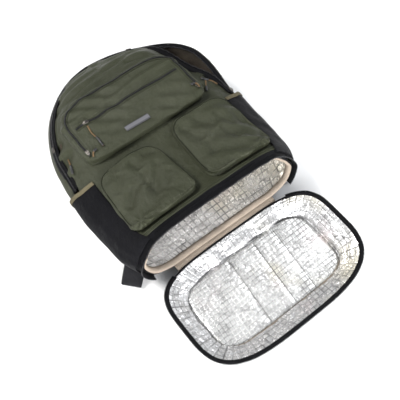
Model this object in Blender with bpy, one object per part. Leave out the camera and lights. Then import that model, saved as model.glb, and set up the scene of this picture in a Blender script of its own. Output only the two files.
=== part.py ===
# Cooler backpack lying on its back panel, front up.
# The main zip is drawn open at the top right. The cooler in the bottom is unzipped,
# and its lid, a shallow tray, is folded out flat on the floor.
# Lengths are in metres. +X is the right of the front, +Y the top of the bag, +Z up.
# While the bag is built, Y is 0 at the cooler's mouth and Z is 0 on the floor.

import math
from collections import namedtuple

import bmesh
import bpy
import numpy as np
from mathutils import Vector
from mathutils.bvhtree import BVHTree

# Driving dimensions of the body
BODY_LENGTH = 0.412        # mouth of the cooler to the top of the arch
ARCH_START = 0.225         # mouth to where the sides turn into the arch
HALF_WIDTH = 0.170
BODY_DEPTH = 0.100         # back to front in the upper half of the body
BAND_LENGTH = 0.034        # black band round the bottom
COOLER_DEPTH = 0.168       # mouth to the divider

# Walls and clearances
SHELL_WALL = 0.0022        # coated cloth with its foam backing
LINING_WALL = 0.0012
LINER_WALL = 0.006         # foil over closed-cell foam
LINER_CLEAR = 0.0016       # slack between the shell and the cup
POCKET_WALL = 0.0020
TAPE = 0.0012              # zip tape and binding
WEBBING = 0.0018
GAP = 0.0003               # between pieces that touch
SEAT = 0.0008              # under cloth that lies on a curved wall

# Back, straps and handle
STRAP_THICKNESS = 0.0070
STRAP_WIDTH = 0.062
PANEL_THICKNESS = 0.0110
WEBBING_WIDTH = 0.032
BUCKLE_LENGTH = 0.030
BUCKLE_CLEAR = 0.003       # strap's end to the buckle
HANDLE_WIDTH = 0.019       # width of the handle's webbing
HANDLE_SPAN = 0.064
HANDLE_REACH = 0.027       # how far the handle stands past its seam

# Front pockets
COMPARTMENT_HALF = 0.119
COMPARTMENT_FOOT = 0.187   # Y of its bottom seam
COMPARTMENT_HEAD = 0.308   # Y of its top zip
COMPARTMENT_RAISE = 0.008
POCKET_ZIP_Y = COMPARTMENT_HEAD - 0.053
LABEL_LENGTH = 0.046
LABEL_WIDTH = 0.010
LABEL_X = -0.018
LABEL_Y = COMPARTMENT_FOOT + 0.019
BELLOWS_FOOT = 0.054
BELLOWS_RAISE = 0.016

# Tray
TRAY_FLOOR_HALF = 0.127
TRAY_FLOOR_NEAR = 0.036    # floor's near edge to the mouth
TRAY_FLOOR_FAR = 0.167
TRAY_RIM_HALF = 0.156
TRAY_RIM_NEAR = 0.010
TRAY_RIM_FAR = 0.196
TRAY_RIM_HEIGHT = 0.042    # highest place of the rim
TRAY_FLOOR_SHELL = 0.0035
TRAY_PANEL = 0.0030

# Zips
ZIP_WIDTH = 0.0085         # one half of the main zip
FINE_ZIP_WIDTH = 0.0070    # closed zips of the front pockets
COOLER_ZIP_WIDTH = 0.0085
SLIDER_LENGTH = 0.0110
SLIDER_WIDTH = 0.0070
SLIDER_HEIGHT = 0.0032
CORD_RADIUS = 0.0013
SLEEVE_RADIUS = 0.0021

STRAP_LEVEL = 0.0
PANEL_LEVEL = STRAP_THICKNESS + 2 * GAP
BACK_LEVEL = PANEL_LEVEL + PANEL_THICKNESS + SEAT

# Half widths of the straight sides, as shares of HALF_WIDTH, at shares of ARCH_START
SideRow = namedtuple("SideRow", "at left right")
SIDE_ROWS = [
    SideRow(0.00, 0.915, 0.900),
    SideRow(0.12, 0.970, 0.965),
    SideRow(0.35, 1.000, 1.010),
    SideRow(0.65, 1.005, 1.030),
    SideRow(0.85, 0.995, 1.035),
    SideRow(1.00, 0.975, 1.040),
]
# The arch is a superellipse, with a flatter left corner where the bag has slumped
ARCH_POWER_LEFT = 1.65
ARCH_POWER_RIGHT = 2.10

# Height of the front over the back, as a share of BODY_DEPTH, at shares of BODY_LENGTH
FrontRow = namedtuple("FrontRow", "at height")
FRONT_ROWS = [
    FrontRow(0.00, 1.060),
    FrontRow(0.05, 1.020),
    FrontRow(0.10, 0.940),
    FrontRow(0.20, 0.840),
    FrontRow(0.34, 0.800),
    FrontRow(0.46, 0.790),
    FrontRow(0.56, 0.840),
    FrontRow(0.73, 0.900),
    FrontRow(0.82, 0.850),
    FrontRow(0.91, 0.710),
    FrontRow(1.00, 0.500),
]

# The section from the middle of the back round the side to the middle of the front.
# inset is a share of the way from the outline to the middle, rise a share of the
# height. gape columns are added where the main zip is open, mouth at the cooler's mouth.
Ring = namedtuple("Ring", "name inset rise gape_inset gape_rise mouth_inset")
RINGS = [
    Ring("back_middle", 1.000, 0.000, 0.000, 0.000, 0.000),
    Ring("back_half", 0.550, 0.000, 0.000, 0.000, 0.000),
    Ring("back_edge", 0.190, 0.000, 0.000, 0.000, 0.130),
    Ring("back_round", 0.045, 0.150, 0.000, 0.000, 0.060),
    Ring("widest", 0.000, 0.420, -0.010, 0.080, 0.000),
    Ring("zip_back", 0.045, 0.600, -0.010, 0.190, 0.000),
    Ring("zip_front", 0.090, 0.690, 0.130, -0.070, 0.000),
    Ring("shoulder", 0.200, 0.860, 0.100, -0.070, 0.000),
    Ring("front_edge", 0.360, 0.955, 0.020, 0.000, 0.000),
    Ring("front_half", 0.650, 0.995, 0.000, 0.000, 0.000),
    Ring("front_middle", 1.000, 1.000, 0.000, 0.000, 0.000),
]
RING = {ring.name: ring for ring in RINGS}

# The open stretch of the main zip, as shares of the way from the right end of the
# straight side (0) round the arch to its left end (1), widest in between
GAPE_FROM = -0.080
GAPE_WIDEST = 0.110
GAPE_TO = 0.330

Station = namedtuple("Station", "edge_x edge_y spine_y gape mouth")


def between(rows, column, share):
    """Smooth value of a table's column at a share, through its rows."""
    at = [row.at for row in rows]
    value = [getattr(row, column) for row in rows]
    share = min(max(share, at[0]), at[-1])
    slope = np.gradient(value, at)
    i = min(int(np.searchsorted(at, share, side="right")) - 1, len(at) - 2)
    step = at[i + 1] - at[i]
    t = (share - at[i]) / step
    return ((2 * t**3 - 3 * t**2 + 1) * value[i] + (t**3 - 2 * t**2 + t) * step * slope[i]
            + (3 * t**2 - 2 * t**3) * value[i + 1] + (t**3 - t**2) * step * slope[i + 1])


def ease(share):
    """Smooth step from 0 to 1."""
    share = min(max(share, 0.0), 1.0)
    return share * share * (3 - 2 * share)


def mix(a, b, share):
    return a + (b - a) * share


def power(value, exponent):
    """Signed power, for superellipses."""
    return math.copysign(abs(value) ** exponent, value)


# The form of the body

def front_level(y):
    return BACK_LEVEL + BODY_DEPTH * between(FRONT_ROWS, "height", y / BODY_LENGTH)


def gape_at(share):
    if share < GAPE_WIDEST:
        return ease((share - GAPE_FROM) / (GAPE_WIDEST - GAPE_FROM))
    return ease((GAPE_TO - share) / (GAPE_TO - GAPE_WIDEST))


def side_station(y, side):
    """A place on the straight right (side 1) or left (side -1) edge."""
    share = y / ARCH_START
    half = HALF_WIDTH * between(SIDE_ROWS, "right" if side > 0 else "left", share)
    arch_share = (share - 1) * ARCH_START / (math.pi * HALF_WIDTH)
    gape = gape_at(arch_share) if side > 0 else 0.0
    return Station(side * half, y, y, gape, ease(1 - y / (0.45 * ARCH_START)))


def arch_station(share):
    """A place on the arch, from its right end (0) to its left end (1)."""
    angle = math.pi * share
    right = math.cos(angle) >= 0
    half = HALF_WIDTH * between(SIDE_ROWS, "right" if right else "left", 1.0)
    exponent = 2 / (ARCH_POWER_RIGHT if right else ARCH_POWER_LEFT)
    x = half * power(math.cos(angle), exponent)
    y = ARCH_START + (BODY_LENGTH - ARCH_START) * abs(math.sin(angle)) ** exponent
    return Station(x, y, ARCH_START, gape_at(share), 0.0)


def body_point(station, ring):
    inset = ring.inset + ring.gape_inset * station.gape + ring.mouth_inset * station.mouth
    y = mix(station.edge_y, station.spine_y, inset)
    rise = ring.rise + ring.gape_rise * station.gape
    z = BACK_LEVEL + rise * (front_level(y) - BACK_LEVEL)
    return Vector((station.edge_x * (1 - inset), y, z))


def blend_ring(low, high, share):
    """A line on the body a share of the way between two rings."""
    return Ring("between", *[mix(a, b, share) for a, b in zip(RING[low][1:], RING[high][1:])])


# Building closed solids

def material(name, colour, roughness, metallic=0.0):
    made = bpy.data.materials.get(name)
    if made is None:
        made = bpy.data.materials.new(name)
        made.use_nodes = True
        shader = made.node_tree.nodes["Principled BSDF"]
        shader.inputs["Base Color"].default_value = (*colour, 1.0)
        shader.inputs["Roughness"].default_value = roughness
        shader.inputs["Metallic"].default_value = metallic
    return made


FINISH = {
    "olive": ((0.055, 0.062, 0.042), 0.62, 0.0),
    "black": ((0.010, 0.010, 0.013), 0.70, 0.0),
    "taupe": ((0.170, 0.130, 0.100), 0.75, 0.0),
    "foil": ((0.820, 0.820, 0.810), 0.25, 0.9),
    "beige": ((0.430, 0.330, 0.250), 0.75, 0.0),
    "metal": ((0.300, 0.290, 0.260), 0.35, 0.9),
    "khaki": ((0.330, 0.200, 0.080), 0.70, 0.0),
    "grey": ((0.200, 0.200, 0.230), 0.55, 0.0),
}


def add_object(name, bm, finish):
    """Turn a bmesh into a named object with its own material."""
    bmesh.ops.triangulate(bm, faces=bm.faces, quad_method="FIXED")
    bmesh.ops.remove_doubles(bm, verts=bm.verts, dist=1e-6)
    bmesh.ops.recalc_face_normals(bm, faces=bm.faces)
    mesh = bpy.data.meshes.new(name)
    bm.to_mesh(mesh)
    bm.free()
    mesh.shade_smooth()
    mesh.set_sharp_from_angle(angle=math.radians(40))
    mesh.materials.append(material(name + "_finish", *FINISH[finish]))
    made = bpy.data.objects.new(name, mesh)
    bpy.context.scene.collection.objects.link(made)
    return made


def loft(name, loops, finish, closed=False):
    """A solid through loops of points: capped at its ends, or closed into a ring."""
    bm = bmesh.new()
    rows = [[bm.verts.new(p) for p in loop] for loop in loops]
    pairs = list(zip(rows, rows[1:])) + ([(rows[-1], rows[0])] if closed else [])
    for low, high in pairs:
        for i in range(len(low)):
            j = (i + 1) % len(low)
            bm.faces.new((low[i], low[j], high[j], high[i]))
    if not closed:
        for row in (rows[0], rows[-1]):
            if len(row) <= 8:
                bm.faces.new(row)
                continue
            centre = sum((v.co for v in row), Vector()) / len(row)
            hub = bm.verts.new(centre)
            for i in range(len(row)):
                bm.faces.new((row[i], row[(i + 1) % len(row)], hub))
    return add_object(name, bm, finish)


def slab(name, inner, outer, finish):
    """A thin solid between two matching grids of points."""
    bm = bmesh.new()
    low = [[bm.verts.new(p) for p in row] for row in inner]
    high = [[bm.verts.new(p) for p in row] for row in outer]
    last_row, last = len(low) - 1, len(low[0]) - 1
    for i in range(last_row):
        for j in range(last):
            bm.faces.new((low[i][j], low[i][j + 1], low[i + 1][j + 1], low[i + 1][j]))
            bm.faces.new((high[i][j], high[i][j + 1], high[i + 1][j + 1], high[i + 1][j]))
        for j in (0, last):
            bm.faces.new((low[i][j], low[i + 1][j], high[i + 1][j], high[i][j]))
    for j in range(last):
        for i in (0, last_row):
            bm.faces.new((low[i][j], low[i][j + 1], high[i][j + 1], high[i][j]))
    return add_object(name, bm, finish)


def tree_of(made):
    """Search tree of an object's surface, for pieces that lie on it."""
    mesh = made.data
    return BVHTree.FromPolygons([v.co for v in mesh.vertices],
                                [p.vertices[:] for p in mesh.polygons])


def lying_on(tree, x, y, lift=0.0):
    """The place on a surface straight under a point in the plan, and its normal."""
    place, normal, _, _ = tree.ray_cast(Vector((x, y, 1.0)), Vector((0, 0, -1)))
    return place + normal * lift, normal


def directions(path, closed):
    """Unit tangents of a path of points."""
    count = len(path)
    result = []
    for i in range(count):
        before = path[i - 1] if (closed or i) else path[0]
        after = path[(i + 1) % count] if (closed or i < count - 1) else path[-1]
        result.append((after - before).normalized())
    return result


def strip(name, path, normals, width, thickness, finish, closed=False, shift=0.0):
    """A flat band along a path, its broad side across the normals."""
    loops = []
    for place, normal, along in zip(path, normals, directions(path, closed)):
        across = along.cross(normal).normalized()
        normal = across.cross(along)
        place = place + across * shift
        side = across * width / 2
        up = normal * thickness / 2
        loops.append([place + side + up, place - side + up, place - side - up,
                      place + side - up])
    return loft(name, loops, finish, closed)


def tube(name, path, radii, finish, sides=6):
    """A round bar along a path with a radius at each point."""
    guide = Vector((0.31, 0.23, 0.92))
    loops = []
    for place, radius, along in zip(path, radii, directions(path, False)):
        across = along.cross(guide).normalized()
        up = along.cross(across)
        loops.append([place + (across * math.cos(a) + up * math.sin(a)) * radius
                      for a in (2 * math.pi * k / sides for k in range(sides))])
    return loft(name, loops, finish)


def smooth_path(points, count):
    """Points evenly spaced along a smooth curve through a few hand-set ones."""
    points = [Vector(p) for p in points]
    padded = [points[0] * 2 - points[1]] + points + [points[-1] * 2 - points[-2]]
    fine = []
    for a, b, c, d in zip(padded, padded[1:], padded[2:], padded[3:]):
        for k in range(12):
            t = k / 12
            fine.append(0.5 * (2 * b + (c - a) * t + (2 * a - 5 * b + 4 * c - d) * t * t
                               + (3 * b - a - 3 * c + d) * t**3))
    fine.append(points[-1])
    run = np.concatenate([[0], np.cumsum([(b - a).length for a, b in zip(fine, fine[1:])])])
    wanted = np.linspace(0, run[-1], count)
    return [Vector([float(np.interp(w, run, [p[k] for p in fine])) for k in range(3)])
            for w in wanted]


# The body: shell, band, lining and cooler

SIDE_STEPS = 7
ARCH_STEPS = 18
MOUTH_Y = 0.0025
BAND_STATIONS = [MOUTH_Y, mix(MOUTH_Y, BAND_LENGTH, 0.5), BAND_LENGTH - GAP]
SIDE_STATIONS = [mix(BAND_LENGTH, ARCH_START, k / SIDE_STEPS) for k in range(SIDE_STEPS + 1)]


def body_sheet(low_stations, with_arch):
    """The body's outer surface as an open sheet of quads, normals outward."""
    rows = [side_station(y, 1) for y in low_stations]
    if with_arch:
        rows += [arch_station(k / ARCH_STEPS) for k in range(1, ARCH_STEPS)]
    rows += [side_station(y, -1) for y in reversed(low_stations)]
    bm = bmesh.new()
    grid = [[bm.verts.new(body_point(row, ring)) for ring in RINGS] for row in rows]
    zip_gap = RINGS.index(RING["zip_back"])
    faces = []
    for i in range(len(grid) - 1):
        if not with_arch and i == len(low_stations) - 1:
            continue
        open_zip = rows[i].gape > 0.02 and rows[i + 1].gape > 0.02
        for j in range(len(RINGS) - 1):
            quad = (grid[i][j], grid[i][j + 1], grid[i + 1][j + 1], grid[i + 1][j])
            if with_arch == "open" and open_zip and j == zip_gap:
                continue
            faces.append(bm.faces.new(quad))
    bmesh.ops.triangulate(bm, faces=bm.faces, quad_method="FIXED")
    bmesh.ops.remove_doubles(bm, verts=bm.verts, dist=1e-6)
    thin = [f for f in bm.faces if f.calc_area() < 1e-10]
    bmesh.ops.delete(bm, geom=thin, context="FACES_ONLY")
    bmesh.ops.recalc_face_normals(bm, faces=bm.faces)
    lowest = min(bm.faces, key=lambda f: f.calc_center_median().z)
    if lowest.normal.z > 0:
        bmesh.ops.reverse_faces(bm, faces=bm.faces)
    bm.normal_update()
    return bm


def inward(bm, depth):
    """The move of each point that sinks a sheet evenly, with its cut ends kept level."""
    ends = {round(min(v.co.y for v in bm.verts), 6), round(max(v.co.y for v in bm.verts), 6)}
    moves = {}
    for v in bm.verts:
        normal = v.normal.copy()
        if v.is_boundary and round(v.co.y, 6) in ends:
            normal = Vector((normal.x, 0, normal.z)).normalized()
        moves[v] = normal * -depth * v.calc_shell_factor()
    return moves


def sink(bm, depth):
    """Move a sheet inward by an even depth."""
    for v, move in inward(bm, depth).items():
        v.co += move
    bm.normal_update()


def thicken(bm, wall):
    """Close a sheet into a solid with the wall on its inner side."""
    inner = {v: bm.verts.new(v.co + move) for v, move in inward(bm, wall).items()}
    edges = [e for e in bm.edges if e.is_boundary]
    faces = list(bm.faces)
    for face in faces:
        bm.faces.new([inner[v] for v in reversed(face.verts)])
    for edge in edges:
        a, b = edge.verts
        bm.faces.new((a, b, inner[b], inner[a]))


def build_body():
    sheet = body_sheet(SIDE_STATIONS, "open")
    thicken(sheet, SHELL_WALL)
    add_object("body_shell", sheet, "olive")

    sheet = body_sheet(BAND_STATIONS, False)
    thicken(sheet, SHELL_WALL)
    add_object("bottom_band", sheet, "black")

    lining_foot = [y for y in SIDE_STATIONS if y > COOLER_DEPTH + LINER_WALL]
    sheet = body_sheet(lining_foot, "open")
    sink(sheet, SHELL_WALL + SEAT)
    thicken(sheet, LINING_WALL)
    add_object("main_lining", sheet, "taupe")


def section(y, depth=0.0):
    """Closed loop of points round the body at one height, sunk inward by a depth."""
    right = [body_point(side_station(y, 1), ring) for ring in RINGS]
    left = [body_point(side_station(y, -1), ring) for ring in RINGS]
    loop = right + left[-2:0:-1]
    count = len(loop)
    moved = []
    for i, place in enumerate(loop):
        before = (place - loop[i - 1]).normalized()
        after = (loop[(i + 1) % count] - place).normalized()
        along = (before + after).normalized()
        even = 1 / max(0.5, along.dot(after))
        inward = Vector((-along.z, 0, along.x))
        moved.append(place + inward * depth * even)
    return moved


def build_cooler():
    """Foil-faced foam cup whose closed end divides the cooler from the main compartment."""
    clear = SHELL_WALL + LINER_CLEAR
    stations = BAND_STATIONS + [y for y in SIDE_STATIONS if BAND_LENGTH < y < COOLER_DEPTH]
    outer = [section(y, clear) for y in stations]
    outer.append(section(COOLER_DEPTH, clear))
    outer.append(section(COOLER_DEPTH + LINER_WALL, clear + LINER_WALL))
    inner = [section(y, clear + LINER_WALL) for y in stations]
    inner.append(section(COOLER_DEPTH, clear + 1.6 * LINER_WALL))
    loft("cooler_liner", outer[::-1] + inner, "foil")

    lip = MOUTH_Y - GAP
    covered = clear + LINER_WALL
    loops = [section(lip, clear), section(lip, covered + TAPE)]
    proud = Vector((0, -2 * TAPE, 0))
    loops += [[p + proud for p in section(lip, covered + TAPE)],
              [p + proud for p in section(lip, clear)]]
    loft("cooler_binding", loops, "beige", closed=True)

    names = [ring.name for ring in RINGS]
    start = names.index("back_round")
    rim = section(lip)
    path = rim[start:len(rim) - start + 1]
    outward = [p - q for p, q in zip(rim, section(lip, 0.01))][start:len(rim) - start + 1]
    loops = []
    for place, out in zip(path, outward):
        out = out.normalized()
        thin = out * -TAPE
        reach = Vector((0, -COOLER_ZIP_WIDTH, 0)) + out * 0.0015
        loops.append([place, place + reach, place + reach + thin, place + thin])
    loft("cooler_zip_tape", loops, "black")


# The back: panel, straps, webbing, buckles and haul handle

PANEL_INSET = 0.20
PANEL_FOOT = 0.012


def build_back_panel():
    stations = [side_station(mix(PANEL_FOOT, ARCH_START, k / 4), 1) for k in range(5)]
    stations += [arch_station(k / ARCH_STEPS) for k in range(1, ARCH_STEPS)]
    stations += [side_station(mix(ARCH_START, PANEL_FOOT, k / 4), -1) for k in range(5)]
    rows = [(PANEL_INSET + 0.05, 0.0), (PANEL_INSET, 0.3), (PANEL_INSET, 0.7),
            (PANEL_INSET + 0.05, 1.0)]
    loops = []
    for inset, rise in rows:
        z = PANEL_LEVEL + PANEL_THICKNESS * rise
        loops.append([Vector((s.edge_x * (1 - inset), mix(s.edge_y, s.spine_y, inset), z))
                      for s in stations])
    loft("back_panel", loops, "black")


# Route of the left shoulder strap under the bag, from its top seam to its buckle
STRAP_TOP = (-0.045, 0.355)
STRAP_BENDS = [(-0.060, 0.290), (-0.064, 0.220), (-0.050, 0.165)]
CORNER_X = -0.172          # far end of the webbing loop at the left bottom corner
CORNER_Y = 0.0215
CORNER_DIRECTION = Vector((-0.74, -0.67, 0)).normalized()
WEBBING_RUN = 0.115        # buckle to the end of the loop
WEBBING_RETURN = 0.036     # end of the loop back to the corner seam


def mirrored(points, side):
    """Points of the left side (side 1) as they are, or moved to the right (side -1)."""
    return [Vector((p.x * side, p.y, p.z)) for p in points]


def build_straps(body_tree):
    loop_end = Vector((CORNER_X, CORNER_Y, 0))
    buckle = loop_end - CORNER_DIRECTION * WEBBING_RUN
    strap_end = buckle - CORNER_DIRECTION * BUCKLE_LENGTH
    middle = STRAP_LEVEL + STRAP_THICKNESS / 2
    turned = strap_end - CORNER_DIRECTION * 0.014
    plan = [STRAP_TOP] + STRAP_BENDS + [(turned.x, turned.y), (strap_end.x, strap_end.y)]
    centre = smooth_path([(x, y, middle) for x, y in plan], 15)

    low = STRAP_LEVEL + WEBBING / 2
    bend = 0.0045
    corner = loop_end - CORNER_DIRECTION * WEBBING_RETURN
    under = [body_tree.ray_cast(Vector((x, corner.y, 0)), Vector((0, 0, 1)))[0].z
             for x in (corner.x, -corner.x)]
    top = min(under) - WEBBING / 2 - 4 * SEAT
    fold = [loop_end + CORNER_DIRECTION * (bend * (math.cos(a) - 1))
            + Vector((0, 0, low + bend + bend * math.sin(a)))
            for a in (math.radians(d) for d in (-90, -45, 0, 45, 90))]
    start = buckle + CORNER_DIRECTION * (BUCKLE_LENGTH * 0.35)
    run = [start.lerp(loop_end - CORNER_DIRECTION * bend, k / 3) + Vector((0, 0, low))
           for k in range(3)]
    rise = [corner.lerp(loop_end, 0.55) + Vector((0, 0, mix(fold[-1].z, top, 0.45))),
            corner + Vector((0, 0, top))]
    webbing = run + fold + rise

    for side, word in ((1, "left"), (-1, "right")):
        loops = []
        for i, (place, along) in enumerate(zip(centre, directions(centre, False))):
            across = Vector((along.y, -along.x, 0))
            taper = 1 - 0.40 * ease((i - 9) / 5)
            half = STRAP_WIDTH / 2 * taper
            edge = STRAP_THICKNESS / 2
            profile = [(-1.0, 0.3), (-0.88, 1.0), (0.88, 1.0), (1.0, 0.3), (1.0, -0.3),
                       (0.88, -1.0), (-0.88, -1.0), (-1.0, -0.3)]
            loops.append(mirrored([place + across * half * u + Vector((0, 0, edge * v))
                                   for u, v in profile], side))
        loft(f"shoulder_strap_{word}", loops, "black")

        loops = []
        for place, along in zip(webbing, directions(webbing, False)):
            across = Vector((CORNER_DIRECTION.y, -CORNER_DIRECTION.x, 0))
            up = across.cross(along).normalized()
            a, b = across * WEBBING_WIDTH / 2, up * WEBBING / 2
            loops.append(mirrored([place + a + b, place - a + b, place - a - b,
                                   place + a - b], side))
        loft(f"strap_webbing_{word}", loops, "black")

        across = Vector((CORNER_DIRECTION.y, -CORNER_DIRECTION.x, 0))
        half = WEBBING_WIDTH / 2 + 0.003
        bar_low = low + WEBBING / 2 + GAP
        loops = []
        for reach, z in ((0.02, 0.5), (0.10, 1.0), (0.75, 1.0), (0.98, 0.45)):
            place = strap_end + CORNER_DIRECTION * BUCKLE_LENGTH * reach
            place = place + CORNER_DIRECTION * BUCKLE_CLEAR
            high = mix(bar_low, STRAP_THICKNESS - GAP, z)
            loops.append(mirrored([Vector((*(place + across * half)[:2], high)),
                                   Vector((*(place - across * half)[:2], high)),
                                   Vector((*(place - across * half)[:2], bar_low)),
                                   Vector((*(place + across * half)[:2], bar_low))], side))
        loft(f"strap_buckle_{word}", loops, "black")


HANDLE_X = 0.040


def build_handle(body_tree):
    """Webbing loop standing on edge behind the top of the arch."""
    top = PANEL_LEVEL + HANDLE_WIDTH
    path = []
    for k in range(13):
        angle = math.pi * k / 12
        x = HANDLE_X - HANDLE_SPAN / 2 * power(math.cos(angle), 0.75)
        seam, _, _, _ = body_tree.ray_cast(Vector((x, 1.0, top)), Vector((0, -1, 0)))
        y = seam.y + SEAT + WEBBING / 2 + HANDLE_REACH * math.sin(angle) ** 0.8
        path.append(Vector((x, y, top - HANDLE_WIDTH / 2)))
    normals = [Vector((t.y, -t.x, 0)) for t in directions(path, False)]
    strip("haul_handle", path, normals, HANDLE_WIDTH, WEBBING, "black")


# Front pockets

POCKET_POINTS = 32
# A pocket from the middle of its face out to its wall and down to the body, then back
# inside. size is a share of the plan, raise of the pocket's height over the body.
PocketRow = namedtuple("PocketRow", "size raise_ wall")


def pocket_plan(angle, left, right, foot, head, power_foot, power_head):
    """A rounded box in the plan, as a superellipse with its own powers top and bottom."""
    c, s = math.cos(angle), math.sin(angle)
    exponent = 2 / (power_head if s >= 0 else power_foot)
    x = (left + right) / 2 + (right - left) / 2 * power(c, exponent)
    y = (foot + head) / 2 + (head - foot) / 2 * power(s, exponent)
    return Vector((x, y, 0))


def even_outline(plan, count):
    """Points at even steps along a closed plan."""
    fine = [plan(2 * math.pi * k / 360) for k in range(361)]
    run = np.concatenate([[0], np.cumsum([(q - p).length for p, q in zip(fine, fine[1:])])])
    steps = [run[-1] * (k + 0.5) / count for k in range(count)]
    return [Vector((float(np.interp(w, run, [p.x for p in fine])),
                    float(np.interp(w, run, [p.y for p in fine])), 0)) for w in steps]


def build_pocket(name, tree, plan, rows, height, finish):
    """A cloth pocket, open at its back, that sits on the body."""
    outline = even_outline(plan, POCKET_POINTS)
    centre = sum(outline, Vector()) / len(outline)
    loops = []
    for row in rows:
        flat = []
        for edge in outline:
            outward = (edge - centre).normalized()
            flat.append(centre.lerp(edge, row.size) - outward * POCKET_WALL * row.wall)
        loop = []
        for k, place in enumerate(flat):
            spots = [place.lerp(flat[(k + step) % len(flat)], share)
                     for step in (-1, 1) for share in (0.0, 0.3, 0.6)]
            ground = max(lying_on(tree, spot.x, spot.y)[0].z for spot in spots)
            lift = row.raise_ * height(place.x, place.y) - POCKET_WALL * row.wall
            loop.append(Vector((place.x, place.y, ground + SEAT + max(lift, 0.0))))
        loops.append(loop)
    return loft(name, loops, finish)


COMPARTMENT_ROWS = [
    PocketRow(0.30, 1.00, 0), PocketRow(0.66, 1.00, 0), PocketRow(0.90, 0.97, 0),
    PocketRow(0.985, 0.86, 0), PocketRow(1.00, 0.45, 0), PocketRow(0.995, 0.00, 0),
    PocketRow(0.995, 0.00, 1), PocketRow(0.995, 0.70, 1), PocketRow(0.90, 0.97, 1),
    PocketRow(0.66, 1.00, 1), PocketRow(0.30, 1.00, 1),
]
BELLOWS_ROWS = [
    PocketRow(0.35, 1.00, 0), PocketRow(0.72, 1.00, 0), PocketRow(0.92, 0.95, 0),
    PocketRow(1.00, 0.80, 0), PocketRow(0.97, 0.42, 0), PocketRow(0.99, 0.00, 0),
    PocketRow(0.99, 0.00, 1), PocketRow(0.97, 0.42, 1), PocketRow(0.92, 0.95, 1),
    PocketRow(0.72, 1.00, 1), PocketRow(0.35, 1.00, 1),
]


def compartment_height(x, y):
    """The box pocket is flat on top, so it stands higher where the body falls away."""
    out = abs(x) / COMPARTMENT_HALF
    low = ease((COMPARTMENT_FOOT + 0.05 - y) / 0.05)
    return COMPARTMENT_RAISE * (1 + 0.35 * out * out + 0.55 * low)


def bellows_height(x, y):
    out = ease((abs(x) - 0.095) / 0.045)
    head = ease((y - 0.115) / 0.055)
    return BELLOWS_RAISE * (1 - 0.30 * out) * (1 - 0.22 * head)


def build_front(body_tree):
    half = COMPARTMENT_HALF

    def compartment_plan(angle):
        return pocket_plan(angle, -half - 0.004, half - 0.004, COMPARTMENT_FOOT,
                           COMPARTMENT_HEAD, 9.0, 4.2)
    front = build_pocket("front_compartment", body_tree, compartment_plan,
                         COMPARTMENT_ROWS, compartment_height, "olive")

    bellows = []
    pockets = {"left": (-0.137, -0.013, COMPARTMENT_FOOT - 0.021),
               "right": (0.009, 0.140, COMPARTMENT_FOOT - 0.013)}
    for word, (left, right, head) in pockets.items():
        def plan(angle, left=left, right=right, head=head):
            place = pocket_plan(angle, left, right, BELLOWS_FOOT, head, 7.0, 5.0)
            spread = (head - place.y) / (head - BELLOWS_FOOT)
            middle = (left + right) / 2
            place.x = middle + (place.x - middle) * mix(0.90, 1.0, spread)
            return place
        bellows.append(build_pocket(f"bellows_pocket_{word}", body_tree, plan,
                                    BELLOWS_ROWS, bellows_height, "olive"))
    return front, bellows


# Side pockets

SIDE_POCKET_FOOT = 0.006
SIDE_POCKET_HEAD = 0.178
SIDE_POCKET_SLACK = 0.0035
SIDE_POCKET_EDGE = 0.45    # front seam, as a share of the way from zip_front to shoulder
BINDING_WIDTH = 0.0075


def side_pocket_head(ring_share):
    """The mouth slants: higher at the back seam than beside the front pockets."""
    return SIDE_POCKET_HEAD + 0.016 * (0.5 - ring_share)


def side_pocket_line(y_share, side, lift):
    """Row of points over the side, from the back seam to the front seam."""
    names = [ring.name for ring in RINGS]
    first, last = names.index("back_round"), names.index("zip_front")
    points = []
    for k in range(first, last + 2):
        ring_share = (k - first) / (last + 1 - first)
        y = mix(SIDE_POCKET_FOOT, side_pocket_head(ring_share), y_share)
        slack = SIDE_POCKET_SLACK * math.sin(math.pi * ring_share) * ease(y_share)
        loop = section(y, -(SEAT + slack + lift))
        place = loop[side * k]
        if k > last:
            place = loop[side * last].lerp(place, SIDE_POCKET_EDGE)
        points.append(place)
    return points


def build_side_pockets():
    for side, word in ((-1, "left"), (1, "right")):
        shares = [k / 8 for k in range(9)]
        inner = [side_pocket_line(share, side, 0.0) for share in shares]
        outer = [side_pocket_line(share, side, POCKET_WALL) for share in shares]
        slab(f"side_pocket_{word}", inner, outer, "black")

        edges = [1 - BINDING_WIDTH / SIDE_POCKET_HEAD, 1.004]
        inner = [side_pocket_line(share, side, POCKET_WALL + GAP) for share in edges]
        outer = [side_pocket_line(share, side, POCKET_WALL + GAP + TAPE) for share in edges]
        slab(f"side_binding_{word}", inner, outer, "olive")


# Tray

TRAY_POINTS = 36
TRAY_CENTRE_X = 0.002
TRAY_POWER_NEAR = 4.0
TRAY_POWER_FAR = 3.4
TRAY_FLOOR_POWER = 4.6
FOIL_LEVEL = TRAY_FLOOR_SHELL + GAP + LINING_WALL
# Heights of the rim at its four sides, as shares of TRAY_RIM_HEIGHT
RIM_RIGHT = 1.00
RIM_LEFT = 0.80
RIM_NEAR = 0.60
RIM_FAR = 0.72

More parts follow.
